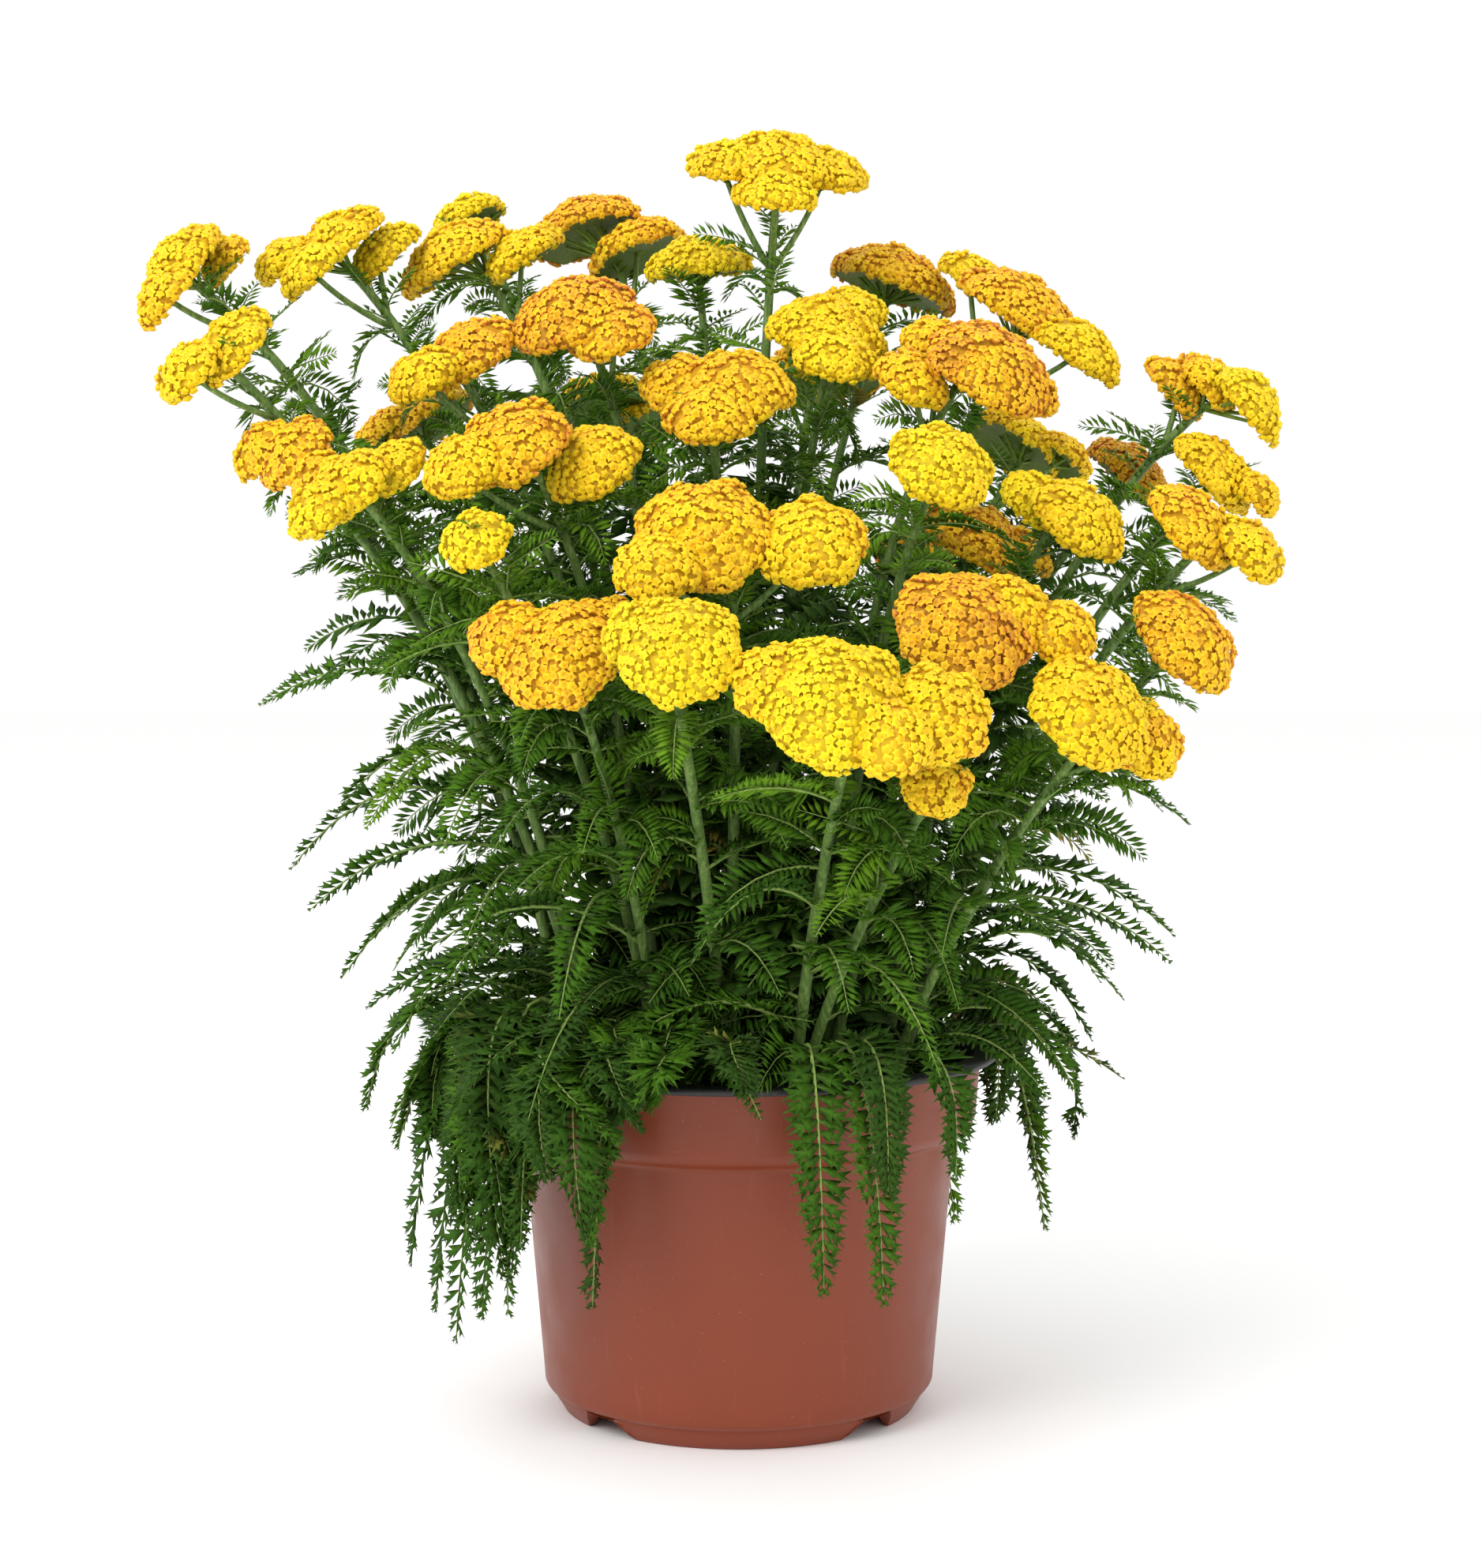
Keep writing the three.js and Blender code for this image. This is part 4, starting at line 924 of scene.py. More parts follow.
# %% Short hand for nodes
def fill(made, inputs):
    """Sets each named input of a node to a value, or links it to a socket."""
    for name, value in inputs.items():
        if isinstance(value, bpy.types.NodeSocket):
            made.id_data.links.new(value, made.inputs[name])
        else:
            made.inputs[name].default_value = value


def node(tree, kind, inputs=None, **settings):
    """Adds a node, sets it up and fills its inputs."""
    made = tree.nodes.new(kind)
    for name, value in settings.items():
        setattr(made, name, value)
    fill(made, inputs or {})
    return made


def noise(tree, place, scale, detail):
    """A noise texture's value."""
    made = node(tree, "ShaderNodeTexNoise", {"Vector": place, "Scale": scale, "Detail": detail})
    return made.outputs["Fac"]


def ramp(tree, factor, stops):
    """A colour ramp through {place: colour}."""
    made = node(tree, "ShaderNodeValToRGB", {"Fac": factor})
    elements = made.color_ramp.elements
    while len(elements) < len(stops):
        elements.new(0.5)
    for element, (place, colour) in zip(elements, stops.items()):
        element.position = place
        element.color = (*colour, 1)
    return made.outputs["Color"]


def painted(red, green, blue):
    """A colour as seen on a screen, 0 to 255, turned into the amounts of light that the shaders use."""
    return tuple(((level / 255 + 0.055) / 1.055) ** 2.4 if level > 10 else level / 255 / 12.92
                 for level in (red, green, blue))


def shades(tree, factor, stops):
    """A colour ramp through {place: colour as seen on a screen}."""
    return ramp(tree, factor, {place: painted(*colour) for place, colour in stops.items()})


def mask(tree, factor, stops):
    """A grey ramp through {place: amount}, to mix by."""
    return ramp(tree, factor, {place: (amount,) * 3 for place, amount in stops.items()})


def mix(tree, factor, first, second):
    """Mixes two colours."""
    return node(tree, "ShaderNodeMix", {0: factor, 6: first, 7: second}, data_type="RGBA").outputs[2]


def on_object(tree):
    """Places on the object, in metres."""
    return node(tree, "ShaderNodeTexCoord").outputs["Object"]


def chart_axes(tree):
    """The u and v of the colour chart."""
    chart = node(tree, "ShaderNodeUVMap", uv_map="OFBake")
    axes = node(tree, "ShaderNodeSeparateXYZ", {"Vector": chart.outputs["UV"]})
    return axes.outputs["X"], axes.outputs["Y"]


# %% Shared group: mottling and small bumps
MOTTLE_INPUTS = {"Colour": "NodeSocketColor", "Grain": "NodeSocketFloat", "Depth": "NodeSocketFloat",
                 "Change": "NodeSocketFloat"}
MOTTLE_OUTPUTS = {"Colour": "NodeSocketColor", "Normal": "NodeSocketVector", "Mask": "NodeSocketFloat"}
mottle_group = bpy.data.node_groups.new("mottling", "ShaderNodeTree")
for in_out, sockets in (("INPUT", MOTTLE_INPUTS), ("OUTPUT", MOTTLE_OUTPUTS)):
    for socket, kind in sockets.items():
        mottle_group.interface.new_socket(socket, in_out=in_out, socket_type=kind)
given = node(mottle_group, "NodeGroupInput").outputs
broad = noise(mottle_group, on_object(mottle_group), given["Grain"], 4.0)
shift = node(mottle_group, "ShaderNodeMapRange",
             {"Value": broad, "From Min": 0.3, "From Max": 0.7, "To Min": -1.0, "To Max": 1.0})
change = node(mottle_group, "ShaderNodeMath", {0: shift.outputs[0], 1: given["Change"]}, operation="MULTIPLY")
value = node(mottle_group, "ShaderNodeMath", {0: change.outputs[0], 1: 1.0}, operation="ADD")
shaded = node(mottle_group, "ShaderNodeHueSaturation", {"Color": given["Colour"], "Value": value.outputs[0]})
bump = node(mottle_group, "ShaderNodeBump", {"Height": broad, "Distance": 0.0006, "Strength": given["Depth"]})
node(mottle_group, "NodeGroupOutput", {"Colour": shaded.outputs["Color"], "Normal": bump.outputs["Normal"],
                                       "Mask": broad})
print("shared group:", mottle_group.name, "with", len(mottle_group.nodes), "nodes")


def mottled(tree, colour, grain, depth, change):
    """The shared mottling: a noise that lightens and darkens the colour and raises small bumps."""
    return node(tree, "ShaderNodeGroup", {"Colour": colour, "Grain": grain, "Depth": depth, "Change": change},
                node_tree=mottle_group)


def finish_surface(shader, skin, **settings):
    """Gives the shader the mottled colour and bumps, and its own settings, with _ for each space."""
    fill(shader, {"Base Color": skin.outputs["Colour"], "Normal": skin.outputs["Normal"]})
    fill(shader, {name.replace("_", " "): value for name, value in settings.items()})


# %% Leaves and stalks
def leaf_material():
    """Greens along u, a pale rib at v above 0.75, and a lighter root and tip on each leaflet."""
    material, tree, shader = new_material("leaf")
    tone, along = chart_axes(tree)
    green = shades(tree, tone, {0.0: (106, 146, 28), 0.3: (76, 118, 21), 0.6: (53, 90, 18),
                                0.86: (46, 74, 20), 0.93: (150, 146, 60), 1.0: (140, 122, 56)})
    pale = mask(tree, along, {0.0: 0.45, 0.2: 0.0, 0.5: 0.0, 0.72: 0.25, 0.745: 0.95, 0.8: 0.8})
    green = mix(tree, pale, green, (*painted(142, 170, 88), 1))
    finish_surface(shader, mottled(tree, green, 420.0, 0.5, 0.22), Roughness=0.62, Specular_IOR_Level=0.13)
    return material


def stalk_material():
    """Pale green with darker grooves along the stalk, and a soft sheen of hairs."""
    material, tree, shader = new_material("stalk")
    upright = node(tree, "ShaderNodeMapping", {"Vector": on_object(tree), "Scale": (700.0, 700.0, 22.0)})
    streak = noise(tree, upright.outputs["Vector"], 1.0, 3.0)
    green = shades(tree, streak, {0.3: (72, 106, 38), 0.5: (100, 132, 54), 0.72: (136, 160, 86)})
    finish_surface(shader, mottled(tree, green, 900.0, 0.6, 0.15), Roughness=0.6, Sheen_Weight=0.12,
                   Sheen_Roughness=0.4)
    return material


leaf_look, stalk_look = leaf_material(), stalk_material()
print("materials:", leaf_look.name, stalk_look.name)

# %% [markdown]
# ## Stalks and leaves of each clump
# A stalk is round with fine ridges, a little thicker at its foot. It is drawn along the same curve as the
# solid one. Side branches curve up to the smaller domes, and small cut bracts sit where the branches leave.

# %% Stalks, branches, crowns and leaves
STALK_RINGS, BRANCH_RINGS = 30, 7
CROWN_HEIGHTS, CROWN_RADII = [-14, -9, -3, 0, 3, 5.0], [7, 8, 8, 7.4, 5.2, 1.5]  # heights over the soil's top
BRACTS = 9  # on each stalk


def curved(starts, ends, lift, steps):
    """Lines from starts to ends that leave along lift: a quadratic Bezier curve for each."""
    share = np.linspace(0, 1, steps)[None, :, None]
    knees = (starts + ends) / 2 + lift
    return ((1 - share) ** 2 * starts[:, None] + 2 * share * (1 - share) * knees[:, None]
            + share**2 * ends[:, None])


def bracts_of(stalk):
    """Small leaves near the top of the stalk, each on its own side of it."""
    found = []
    for i, up in enumerate(np.linspace(0.84, 0.985, BRACTS)):
        length = rng.uniform(17, 30)
        rib = arching_rib(bezier(stalk.curve, up), i * LEAF_TURN + rng.uniform(-0.4, 0.4), length,
                          rng.uniform(0.5, 1.1), rng.uniform(0.0, 0.7))
        bract = new_leaf(stalk, rib, up, length, 4.2 + length / 9)
        bract.tone = rng.uniform(0.1, 0.35)
        found.append(bract)
    return found


def add_stalks(shape, own):
    """A clump's stalks, which widen into their feet by a falling exponential, and their side branches."""
    share = np.linspace(0, 1, STALK_RINGS)
    lines = np.array([bezier(stalk.curve, share) for stalk in own])
    radii = 0.86 * (STALK_FOOT + (STALK_TOP - STALK_FOOT) * share) + 1.2 * np.exp(-share * 25)
    chart = np.stack([np.full(STALK_RINGS, 0.5), 0.86 + 0.12 * share], 1)
    add_tubes(shape, lines, radii, 8, chart, STALK_LOOK, 0.06)
    ends = [line for stalk in own for line in stalk.branches]
    if ends:
        foot, top = np.array(ends).transpose(1, 0, 2)
        out = (top - foot) * [1, 1, 0] * 0.12 - [0, 0, 1.5]
        add_tubes(shape, curved(foot, top, out, BRANCH_RINGS), np.linspace(1.5, 1.2, BRANCH_RINGS), 6,
                  (0.3, 0.95), STALK_LOOK)


def make_stems(clump):
    """One clump: its crown, its stalks and their branches, and all their leaves."""
    shape = Shape()
    own = [stalk for stalk in stalks if stalk.clump == clump]
    crown_line = np.array([[(*CLUMPS[clump][0], SOIL_RISE + height) for height in CROWN_HEIGHTS]])
    add_tubes(shape, crown_line, np.array([CROWN_RADII]), 14, (0.5, 0.86), STALK_LOOK, 0.05)
    add_stalks(shape, own)
    grown = [leaf for leaf in leaves if stalks[leaf.owner].clump == clump]
    for kind, cut in LEAF_CUTS.items():
        add_leaves(shape, [leaf for leaf in grown if leaf.kind == kind], *cut)
    add_leaves(shape, [bract for stalk in own for bract in bracts_of(stalk)], *BRACT_CUT)
    number = f"{clump + 1:02d}"
    return make_piece("leafy_stems_" + number, shape, ["stems_" + number], [stalk_look, leaf_look])


stems = [make_stems(clump) for clump in range(len(CLUMPS))]
print("triangles of stems and leaves:", count_triangles(stems))

# %% [markdown]
# ## Flower heads
# What looks like one flower is a floret: five short rays round a raised golden disc, over a small cup.
# Dozens of florets make a cluster the width of a fingertip, clusters make a dome, and one to five domes make
# a head. Young florets are lemon yellow; as they age the disc browns and the rays turn orange and salmon.

# %% One floret
def floret_shape():
    """Five rays of radius 1 that slope down from a raised middle, over a cone for the cup; 20 triangles."""
    turn = np.arange(5) * 2 * np.pi / 5
    # angle, radius and height of the notches between the rays, and of the rays' tips
    rows = [(turn - 0.628, 0.66, 0.02), (turn, 1.0, -0.14)]
    rim = np.stack([np.stack([r * np.cos(a), r * np.sin(a), np.full(5, z)], -1) for a, r, z in rows], 1)
    points = np.concatenate([rim.reshape(-1, 3), [(0, 0, 0.4), (0, 0, -1.2)]])
    parts = np.array([0.4, 0.52] * 5 + [0.03, 0.78])
    ring = np.arange(10)
    after = (ring + 1) % 10
    return points, parts, np.concatenate([np.stack([np.full(10, 10), ring, after], 1),
                                          np.stack([np.full(10, 11), after, ring], 1)])


print("triangles in a floret:", len(floret_shape()[2]))

# %% [markdown]
# Each dome is a low cap whose rim curls under, so that florets also face sideways and a little down, and the
# head looks full from every side. Places are drawn at random over all domes of a head and thinned to an even
# spacing, first for the clusters and then for the florets.

# %% Places over a head
FLORET_SPACING, CLUSTER_SPACING = 2.79, 11.5
YOUNG_RADIUS, RIPE_RADIUS = 2.1, 2.4
CLUSTER_RISE, CLUSTER_RADIUS = 1.6, 7.0
RIM_SHARE = 0.8  # the share of the way down a dome at which its rim begins to curl
RIM_CURL, RIM_TURN = 4.2, 1.6
CAP_SLOPE = 2 * DOME_RISE  # at the edge of the paraboloid
RIM_TILT = math.atan(CAP_SLOPE)
DOME_SKIRT = 5.0  # how far the curled rim hangs below the dome's circle
PLACES_TRIED = 1.7  # for each square millimetre


def dome_skin(dome, share, angle):
    """Place and outward direction on a dome, in the head's own axes.

    Down to RIM_SHARE it is the paraboloid DOME_RISE radius (1 - distance squared), whose slope is CAP_SLOPE
    times the distance; from there an arc of radius RIM_CURL goes on and turns by RIM_TURN. Two sine waves
    round the dome make its radius swell and shrink by up to a tenth, as its clusters stand out or back."""
    u, v, h, radius = dome
    radius = radius * (1 + 0.05 * np.sin(5 * angle + u) + 0.04 * np.sin(8 * angle + v))
    on_cap = np.minimum(share / RIM_SHARE, 1)
    tilt = np.arctan(CAP_SLOPE * on_cap) + RIM_TURN * np.maximum(share - RIM_SHARE, 0) / (1 - RIM_SHARE)
    round_rim = np.maximum(tilt, RIM_TILT)
    out = radius * on_cap + RIM_CURL * (np.sin(round_rim) - math.sin(RIM_TILT))
    height = h + DOME_RISE * radius * (1 - on_cap**2) + RIM_CURL * (np.cos(round_rim) - math.cos(RIM_TILT))
    place = np.stack([u + out * np.cos(angle), v + out * np.sin(angle), height], -1)
    outward = np.stack([np.sin(tilt) * np.cos(angle), np.sin(tilt) * np.sin(angle), np.cos(tilt)], -1)
    return place, outward


def places_over(plane):
    """Random places on all domes that no other dome covers: place, outward direction, dome and share."""
    found = []
    for number, dome in enumerate(plane.spots):
        on_cap = int(PLACES_TRIED * math.pi * dome[3] ** 2)
        on_rim = int(PLACES_TRIED * 2 * math.pi * dome[3] * RIM_CURL * RIM_TURN)
        share = np.concatenate([RIM_SHARE * np.sqrt(rng.uniform(0, 1, on_cap)),
                                rng.uniform(RIM_SHARE, 1, on_rim)])
        place, outward = dome_skin(dome, share, rng.uniform(0, 2 * np.pi, len(share)))
        apart = np.hypot(place[:, :1] - plane.spots[:, 0], place[:, 1:2] - plane.spots[:, 1])
        covered = ((apart < plane.spots[:, 3] - 1.5) & (place[:, 2:] > plane.spots[:, 2] - DOME_SKIRT)
                   & (place[:, 2:] < dome_heights(plane, place[:, 0], place[:, 1]) - 1))
        covered[:, number] = False
        keep = ~covered.any(1)
        found.append((place[keep], outward[keep], np.full(keep.sum(), number), share[keep]))
    found = [np.concatenate(part) for part in zip(*found)]
    order = rng.permutation(len(found[3]))
    return [part[order] for part in found]


def spaced(places, least):
    """Goes through the places and keeps each that is at least this far from all that are kept already."""
    held, kept = np.empty_like(places), []
    for i, place in enumerate(places):
        if not kept or ((held[:len(kept)] - place) ** 2).sum(1).min() >= least**2:
            held[len(kept)] = place
            kept.append(i)
    return np.array(kept)


# %% Florets, and the cushion of their feet
CUSHION_RINGS, CUSHION_SIDES = 8, 18
CUSHION_DEPTH, CUSHION_HOLLOW = 0.2, 3.5  # below the florets, and up into its underside
FLORET_LOOK, GREEN_LOOK = 0, 1


def add_copies(shape, form, parts, faces, frames, sizes, turns, tones):
    """One form at many places: turned about its outward direction, scaled, and shaded by its tone."""
    place, across, along, outward = (part[:, None] for part in frames)
    cosine, sine = np.cos(turns)[:, None, None], np.sin(turns)[:, None, None]
    x, y, z = form.T[..., None]
    turned_x, turned_y = x * cosine - y * sine, x * sine + y * cosine
    points = place + sizes[:, None, None] * (across * turned_x + along * turned_y + outward * z)
    chart = np.stack(np.broadcast_arrays(tones[:, None] + 0.012 * form[:, 0], parts), -1)
    shape.add(points, chart, repeated([faces], len(sizes), len(form)), FLORET_LOOK)


def add_cushion(shape, plane, dome, tone):
    """The florets' closely packed feet: the dome a little inside its florets, closed below by a flat cone."""
    share, angle = np.meshgrid(np.linspace(0.12, 1, CUSHION_RINGS),
                               np.arange(CUSHION_SIDES) * 2 * np.pi / CUSHION_SIDES, indexing="ij")
    place, outward = dome_skin(dome, share, angle)
    place = place - CUSHION_DEPTH * outward
    top = (dome[0], dome[1], dome[2] + DOME_RISE * dome[3] - CUSHION_DEPTH)
    bottom = (dome[0], dome[1], place[-1, 0, 2] + CUSHION_HOLLOW)
    local = np.concatenate([place.reshape(-1, 3), [top, bottom]])
    quads = tube_faces(CUSHION_RINGS, CUSHION_SIDES)[0][:, ::-1]
    ring = np.arange(CUSHION_SIDES)
    after, last = (ring + 1) % CUSHION_SIDES, (CUSHION_RINGS - 1) * CUSHION_SIDES
    cap, base = fan(ring, after, len(local) - 2), fan(last + after, last + ring, len(local) - 1)
    chart = np.concatenate([np.stack([tone + 0.01 * np.cos(angle), 0.79 + 0.04 * share], -1).reshape(-1, 2),
                            [(tone, 0.79), (tone, 0.86)]])
    shape.add(np.clip(on_plane(plane, *local.T), BOX_LOW, BOX_HIGH), chart, [quads, cap, base],
              [FLORET_LOOK, FLORET_LOOK, GREEN_LOOK])


# %% Materials of the florets
def floret_material():
    """Colours of disc, ray, ray's edge and cup, each along the ripeness u, joined in this order along v."""
    material, tree, shader = new_material("floret")
    ripeness, part = chart_axes(tree)
    disc = shades(tree, ripeness, {0.0: (232, 200, 8), 0.4: (228, 178, 8), 0.7: (216, 152, 10),
                                   1.0: (176, 112, 12)})
    ray = shades(tree, ripeness, {0.0: (240, 214, 16), 0.3: (240, 203, 16), 0.55: (239, 192, 20),
                                  0.8: (232, 174, 26), 1.0: (204, 144, 24)})
    edge = shades(tree, ripeness, {0.0: (246, 224, 30), 0.3: (244, 208, 30), 0.5: (240, 178, 50),
                                   0.75: (232, 136, 72), 1.0: (208, 116, 60)})
    cup = shades(tree, ripeness, {0.0: (202, 178, 10), 0.4: (200, 152, 10), 1.0: (156, 100, 14)})
    colour = mix(tree, mask(tree, part, {0.2: 0.0, 0.26: 1.0}), disc, ray)
    colour = mix(tree, mask(tree, part, {0.41: 0.0, 0.51: 1.0}), colour, edge)
    colour = mix(tree, mask(tree, part, {0.54: 0.0, 0.62: 1.0}), colour, cup)
    finish_surface(shader, mottled(tree, colour, 800.0, 0.4, 0.12), Roughness=0.6, Specular_IOR_Level=0.25,
                   Sheen_Weight=0.05)
    return material


def green_material():
    """Undersides and stalklets: a fresh green, a little darker towards the florets."""
    material, tree, shader = new_material("stalklets")
    part = chart_axes(tree)[1]
    green = shades(tree, part, {0.84: (92, 114, 34), 0.88: (104, 130, 42), 0.95: (116, 142, 58)})
    finish_surface(shader, mottled(tree, green, 700.0, 0.5, 0.2), Roughness=0.65, Specular_IOR_Level=0.2)
    return material


floret_look, green_look = floret_material(), green_material()
print("materials:", floret_look.name, green_look.name)

# %% Heads
TONE_SCALE, LEAST_TONE, MOST_TONE = 0.84, 0.03, 0.97


def add_florets(shape, plane, place, outward, clusters, base):
    """Sets a floret at each place, turned a little at random off the dome's outward direction.

    It stands out by CLUSTER_RISE (1 - distance squared) over the middle of its cluster, and a random part.
    Its tone is its dome's, plus a random part for its cluster and one of its own, larger on ripe domes."""
    count = len(place)
    apart2 = ((place[:, None] - clusters) ** 2).sum(-1)
    bump = CLUSTER_RISE * np.maximum(1 - apart2.min(1) / CLUSTER_RADIUS**2, 0)
    tones = base + rng.normal(0, 0.07, len(clusters))[apart2.argmin(1)]
    tones += (0.04 + 0.09 * base) * rng.normal(0, 1, count)
    axes = np.array([plane.across, plane.along, plane.axis])
    facing = unit(outward + rng.normal(0, 0.15, (count, 3))) @ axes
    across = unit(np.cross(plane.along, facing))
    rise = 0.4 + bump + rng.normal(0, 0.25, count)
    middle = np.clip(on_plane(plane, *(place + outward * rise[:, None]).T), BOX_LOW, BOX_HIGH)
    sizes = YOUNG_RADIUS + (RIPE_RADIUS - YOUNG_RADIUS) * np.clip(base * 4, 0, 1)
    add_copies(shape, *floret_shape(), (middle, across, np.cross(facing, across), facing),
               sizes * rng.uniform(0.88, 1.1, count), rng.uniform(0, 6.3, count),
               np.clip(tones, LEAST_TONE, MOST_TONE))


def add_stalklets(shape, stalk, ends):
    """Thin curved tubes from the nearest of the head's root and its branches' tops to each cluster."""
    roots = np.array([on_plane(stalk.plane, 0.0, 0.0, -stalk.plane.depth - 3)]
                     + [top - stalk.plane.axis * 1.5 for _, top in stalk.branches])
    starts = roots[((ends[:, None] - roots) ** 2).sum(-1).argmin(1)]
    add_tubes(shape, curved(starts, ends, (ends - starts) * 0.1 - stalk.plane.axis * 0.8, 4),
              np.linspace(1.0, 0.7, 4), 4, (0.5, 0.93), GREEN_LOOK)


def make_head(stalk):
    """Florets over the domes, a cushion of their feet in each dome, and stalklets from the head's root."""
    plane, shape = stalk.plane, Shape()
    place, outward, dome, share = places_over(plane)
    on_cap = (share < RIM_SHARE * 0.9).nonzero()[0]
    clusters = on_cap[spaced(place[on_cap], CLUSTER_SPACING)]
    florets = spaced(place, FLORET_SPACING)
    ripeness = RIPENESS[stalk.number]
    dome_tones = TONE_SCALE * np.array([ripeness[0]] + [ripeness[-1]] * (len(plane.spots) - 1))
    add_florets(shape, plane, place[florets], outward[florets], place[clusters], dome_tones[dome[florets]])
    for spot, tone in zip(plane.spots, dome_tones):
        add_cushion(shape, plane, spot, np.clip(tone, LEAST_TONE, MOST_TONE))
    add_stalklets(shape, stalk, on_plane(plane, *(place[clusters] - outward[clusters] * 5).T))
    number = f"{stalk.number + 1:02d}"
    return make_piece("flower_head_" + number, shape, ["head_" + number],
                      [floret_look, green_look], smooth=False)


heads = [make_head(stalk) for stalk in stalks]
print("triangles of flower heads:", count_triangles(heads))

# %% [markdown]
# ## Pot
# The pot is pressed from a sheet of two-layered plastic, brown outside and black inside, so its wall is thin,
# its corners are soft, and its lip is rolled outwards. It is turned from one profile; the foot ring is then
# raised in four places, which leaves four feet that let water run off, and four holes are cut in the floor.

# %% Profile of the pot
FLOOR_LOW, FLOOR_HIGH = 9.8, 12.2


def arc(middle_radius, middle_height, size, start, end, steps):
    """Points of a rounded corner, from one angle to the other in degrees."""
    angle = np.radians(np.linspace(start, end, steps))
    return [(middle_radius + size * math.cos(a), middle_height + size * math.sin(a)) for a in angle]


# radius and height: under the floor, round the foot, up the body, out to the collar, and up to the lip
outside = [(0, FLOOR_LOW), (40, FLOOR_LOW), (72, FLOOR_LOW), (75.6, FLOOR_LOW - 0.6), (75.3, 6), (74.9, 3)]
outside += [(74.6, 0.5), (75.1, 0), (77.3, 0), (78.1, 0.4), (79.0, 2), (80.3, 4), (81.6, 6), (82.6, 8)]
outside += [(82.9, 9.1), (84.6, 9.9), (85.5, 11.2), (86.0, 12.4)]
outside += [(86.0 + 9.2 * part, 13.0 + 107 * part) for part in np.linspace(0.05, 1, 5)]
outside += [(95.5, 121.6), (96.3, 122.9), (98.2, 123.8), (100.4, 124.6), (102.2, 126.0), (103.6, 128.2)]
outside += [(104.5 + 1.8 * part, 130 + 25.2 * part) for part in np.linspace(0, 1, 3)]
# under the rolled lip, over it, and down the inside to the floor
inside = [(106.9, 156.1), (108, 156.2), (111, 156.2), *arc(113.4, 157.8, 1.6, -90, 90, 8), (110, 159.4)]
inside += [(106, 159.3), (104.2, 158.8), (103.7, 157.4), (103.2, 150), (102.9, 132), (102.4, 129.6)]
inside += [(101, 127.0), (98.8, 125.6), (95.6, 124.6), (94.2, 122.9), (93.8, 121)]
inside += [(93.8 - 9.2 * part, 121 - 105 * part) for part in np.linspace(0.1, 1, 5)]
inside += [(83.9, 13.6), (82.4, FLOOR_HIGH), (60, FLOOR_HIGH), (30, FLOOR_HIGH), (0, FLOOR_HIGH)]
profile = np.array(outside + inside)
print("profile points:", len(profile))

# %% Plastics
def plastic(name, colour, speck, speck_share, roughness, change):
    """Moulded plastic: a faint mottling, small specks, fine upright scratches and an uneven gloss."""
    material, tree, shader = new_material(name)
    place = on_object(tree)
    skin = mottled(tree, (*painted(*colour), 1), 55.0, 0.25, change)
    specks = mask(tree, noise(tree, place, 620.0, 2.0), {speck_share: 0.0, speck_share + 0.05: 0.35})
    upright = node(tree, "ShaderNodeMapping", {"Vector": place, "Scale": (260.0, 260.0, 18.0)})
    scratches = mask(tree, noise(tree, upright.outputs["Vector"], 1.0, 4.0), {0.64: 0.0, 0.76: 0.12})
    worn = skin.outputs["Colour"]
    for marks in (specks, scratches):
        worn = mix(tree, marks, worn, (*painted(*speck), 1))
    rough = node(tree, "ShaderNodeMapRange", {"Value": skin.outputs["Mask"], "From Min": 0.3, "From Max": 0.7,
                                              "To Min": roughness - 0.06, "To Max": roughness + 0.08})
    bump = node(tree, "ShaderNodeBump", {"Height": noise(tree, place, 900.0, 3.0), "Strength": 0.12,
                                         "Distance": 0.0004, "Normal": skin.outputs["Normal"]})
    fill(shader, {"Base Color": worn, "Roughness": rough.outputs[0], "Normal": bump.outputs["Normal"],
                  "Specular IOR Level": 0.45})
    return material


brown_plastic = plastic("brown_plastic", (127, 52, 22), (170, 104, 78), 0.70, 0.40, 0.02)
black_plastic = plastic("black_plastic", (38, 37, 38), (96, 94, 92), 0.66, 0.42, 0.12)
print("materials:", brown_plastic.name, black_plastic.name)

# %% Turned pot with feet
POT_SEGMENTS = 192
BROWN_LOOK, BLACK_LOOK = 0, 1
NOTCH_HALF_WIDTH, NOTCH_SIDE, NOTCH_HEIGHT = 14.3, 6.5, 9
FIRST_FOOT_RING, FIRST_OUTER_RING, LAST_FOOT_RING = 3, 7, 13  # counted from the profile's second point


def notch_rise(radius, angle):
    """How high the ground line is cut away between two feet: full height, sloping to nothing at each side."""
    beside = np.abs(radius * np.sin(angle % (np.pi / 2) - np.pi / 4))
    return np.clip((NOTCH_HALF_WIDTH - beside) * NOTCH_HEIGHT / NOTCH_SIDE, 0, NOTCH_HEIGHT)


def pot_rings(rings, angle):
    """The profile turned round the axis: radius times cosine and sine of the angle, and the height.

    Where a foot ring lies below the notch it is lifted to it, and set back or out to stay on the wall."""
    radius, height = (np.broadcast_to(part[:, None], (len(rings), len(angle))) for part in rings.T)
    number = np.arange(len(rings))[:, None]
    foot = (number >= FIRST_FOOT_RING) & (number <= LAST_FOOT_RING)
    lifted = np.maximum(height, notch_rise(radius, angle))
    on_wall = np.where(number >= FIRST_OUTER_RING, 78 + 7.8 * lifted / 11, 74.5 + 1.5 * lifted / 9.8)
    radius = np.where(foot & (lifted > height), on_wall, radius)
    height = np.where(foot, lifted, height)
    return np.stack([radius * np.cos(angle), radius * np.sin(angle), height], -1)


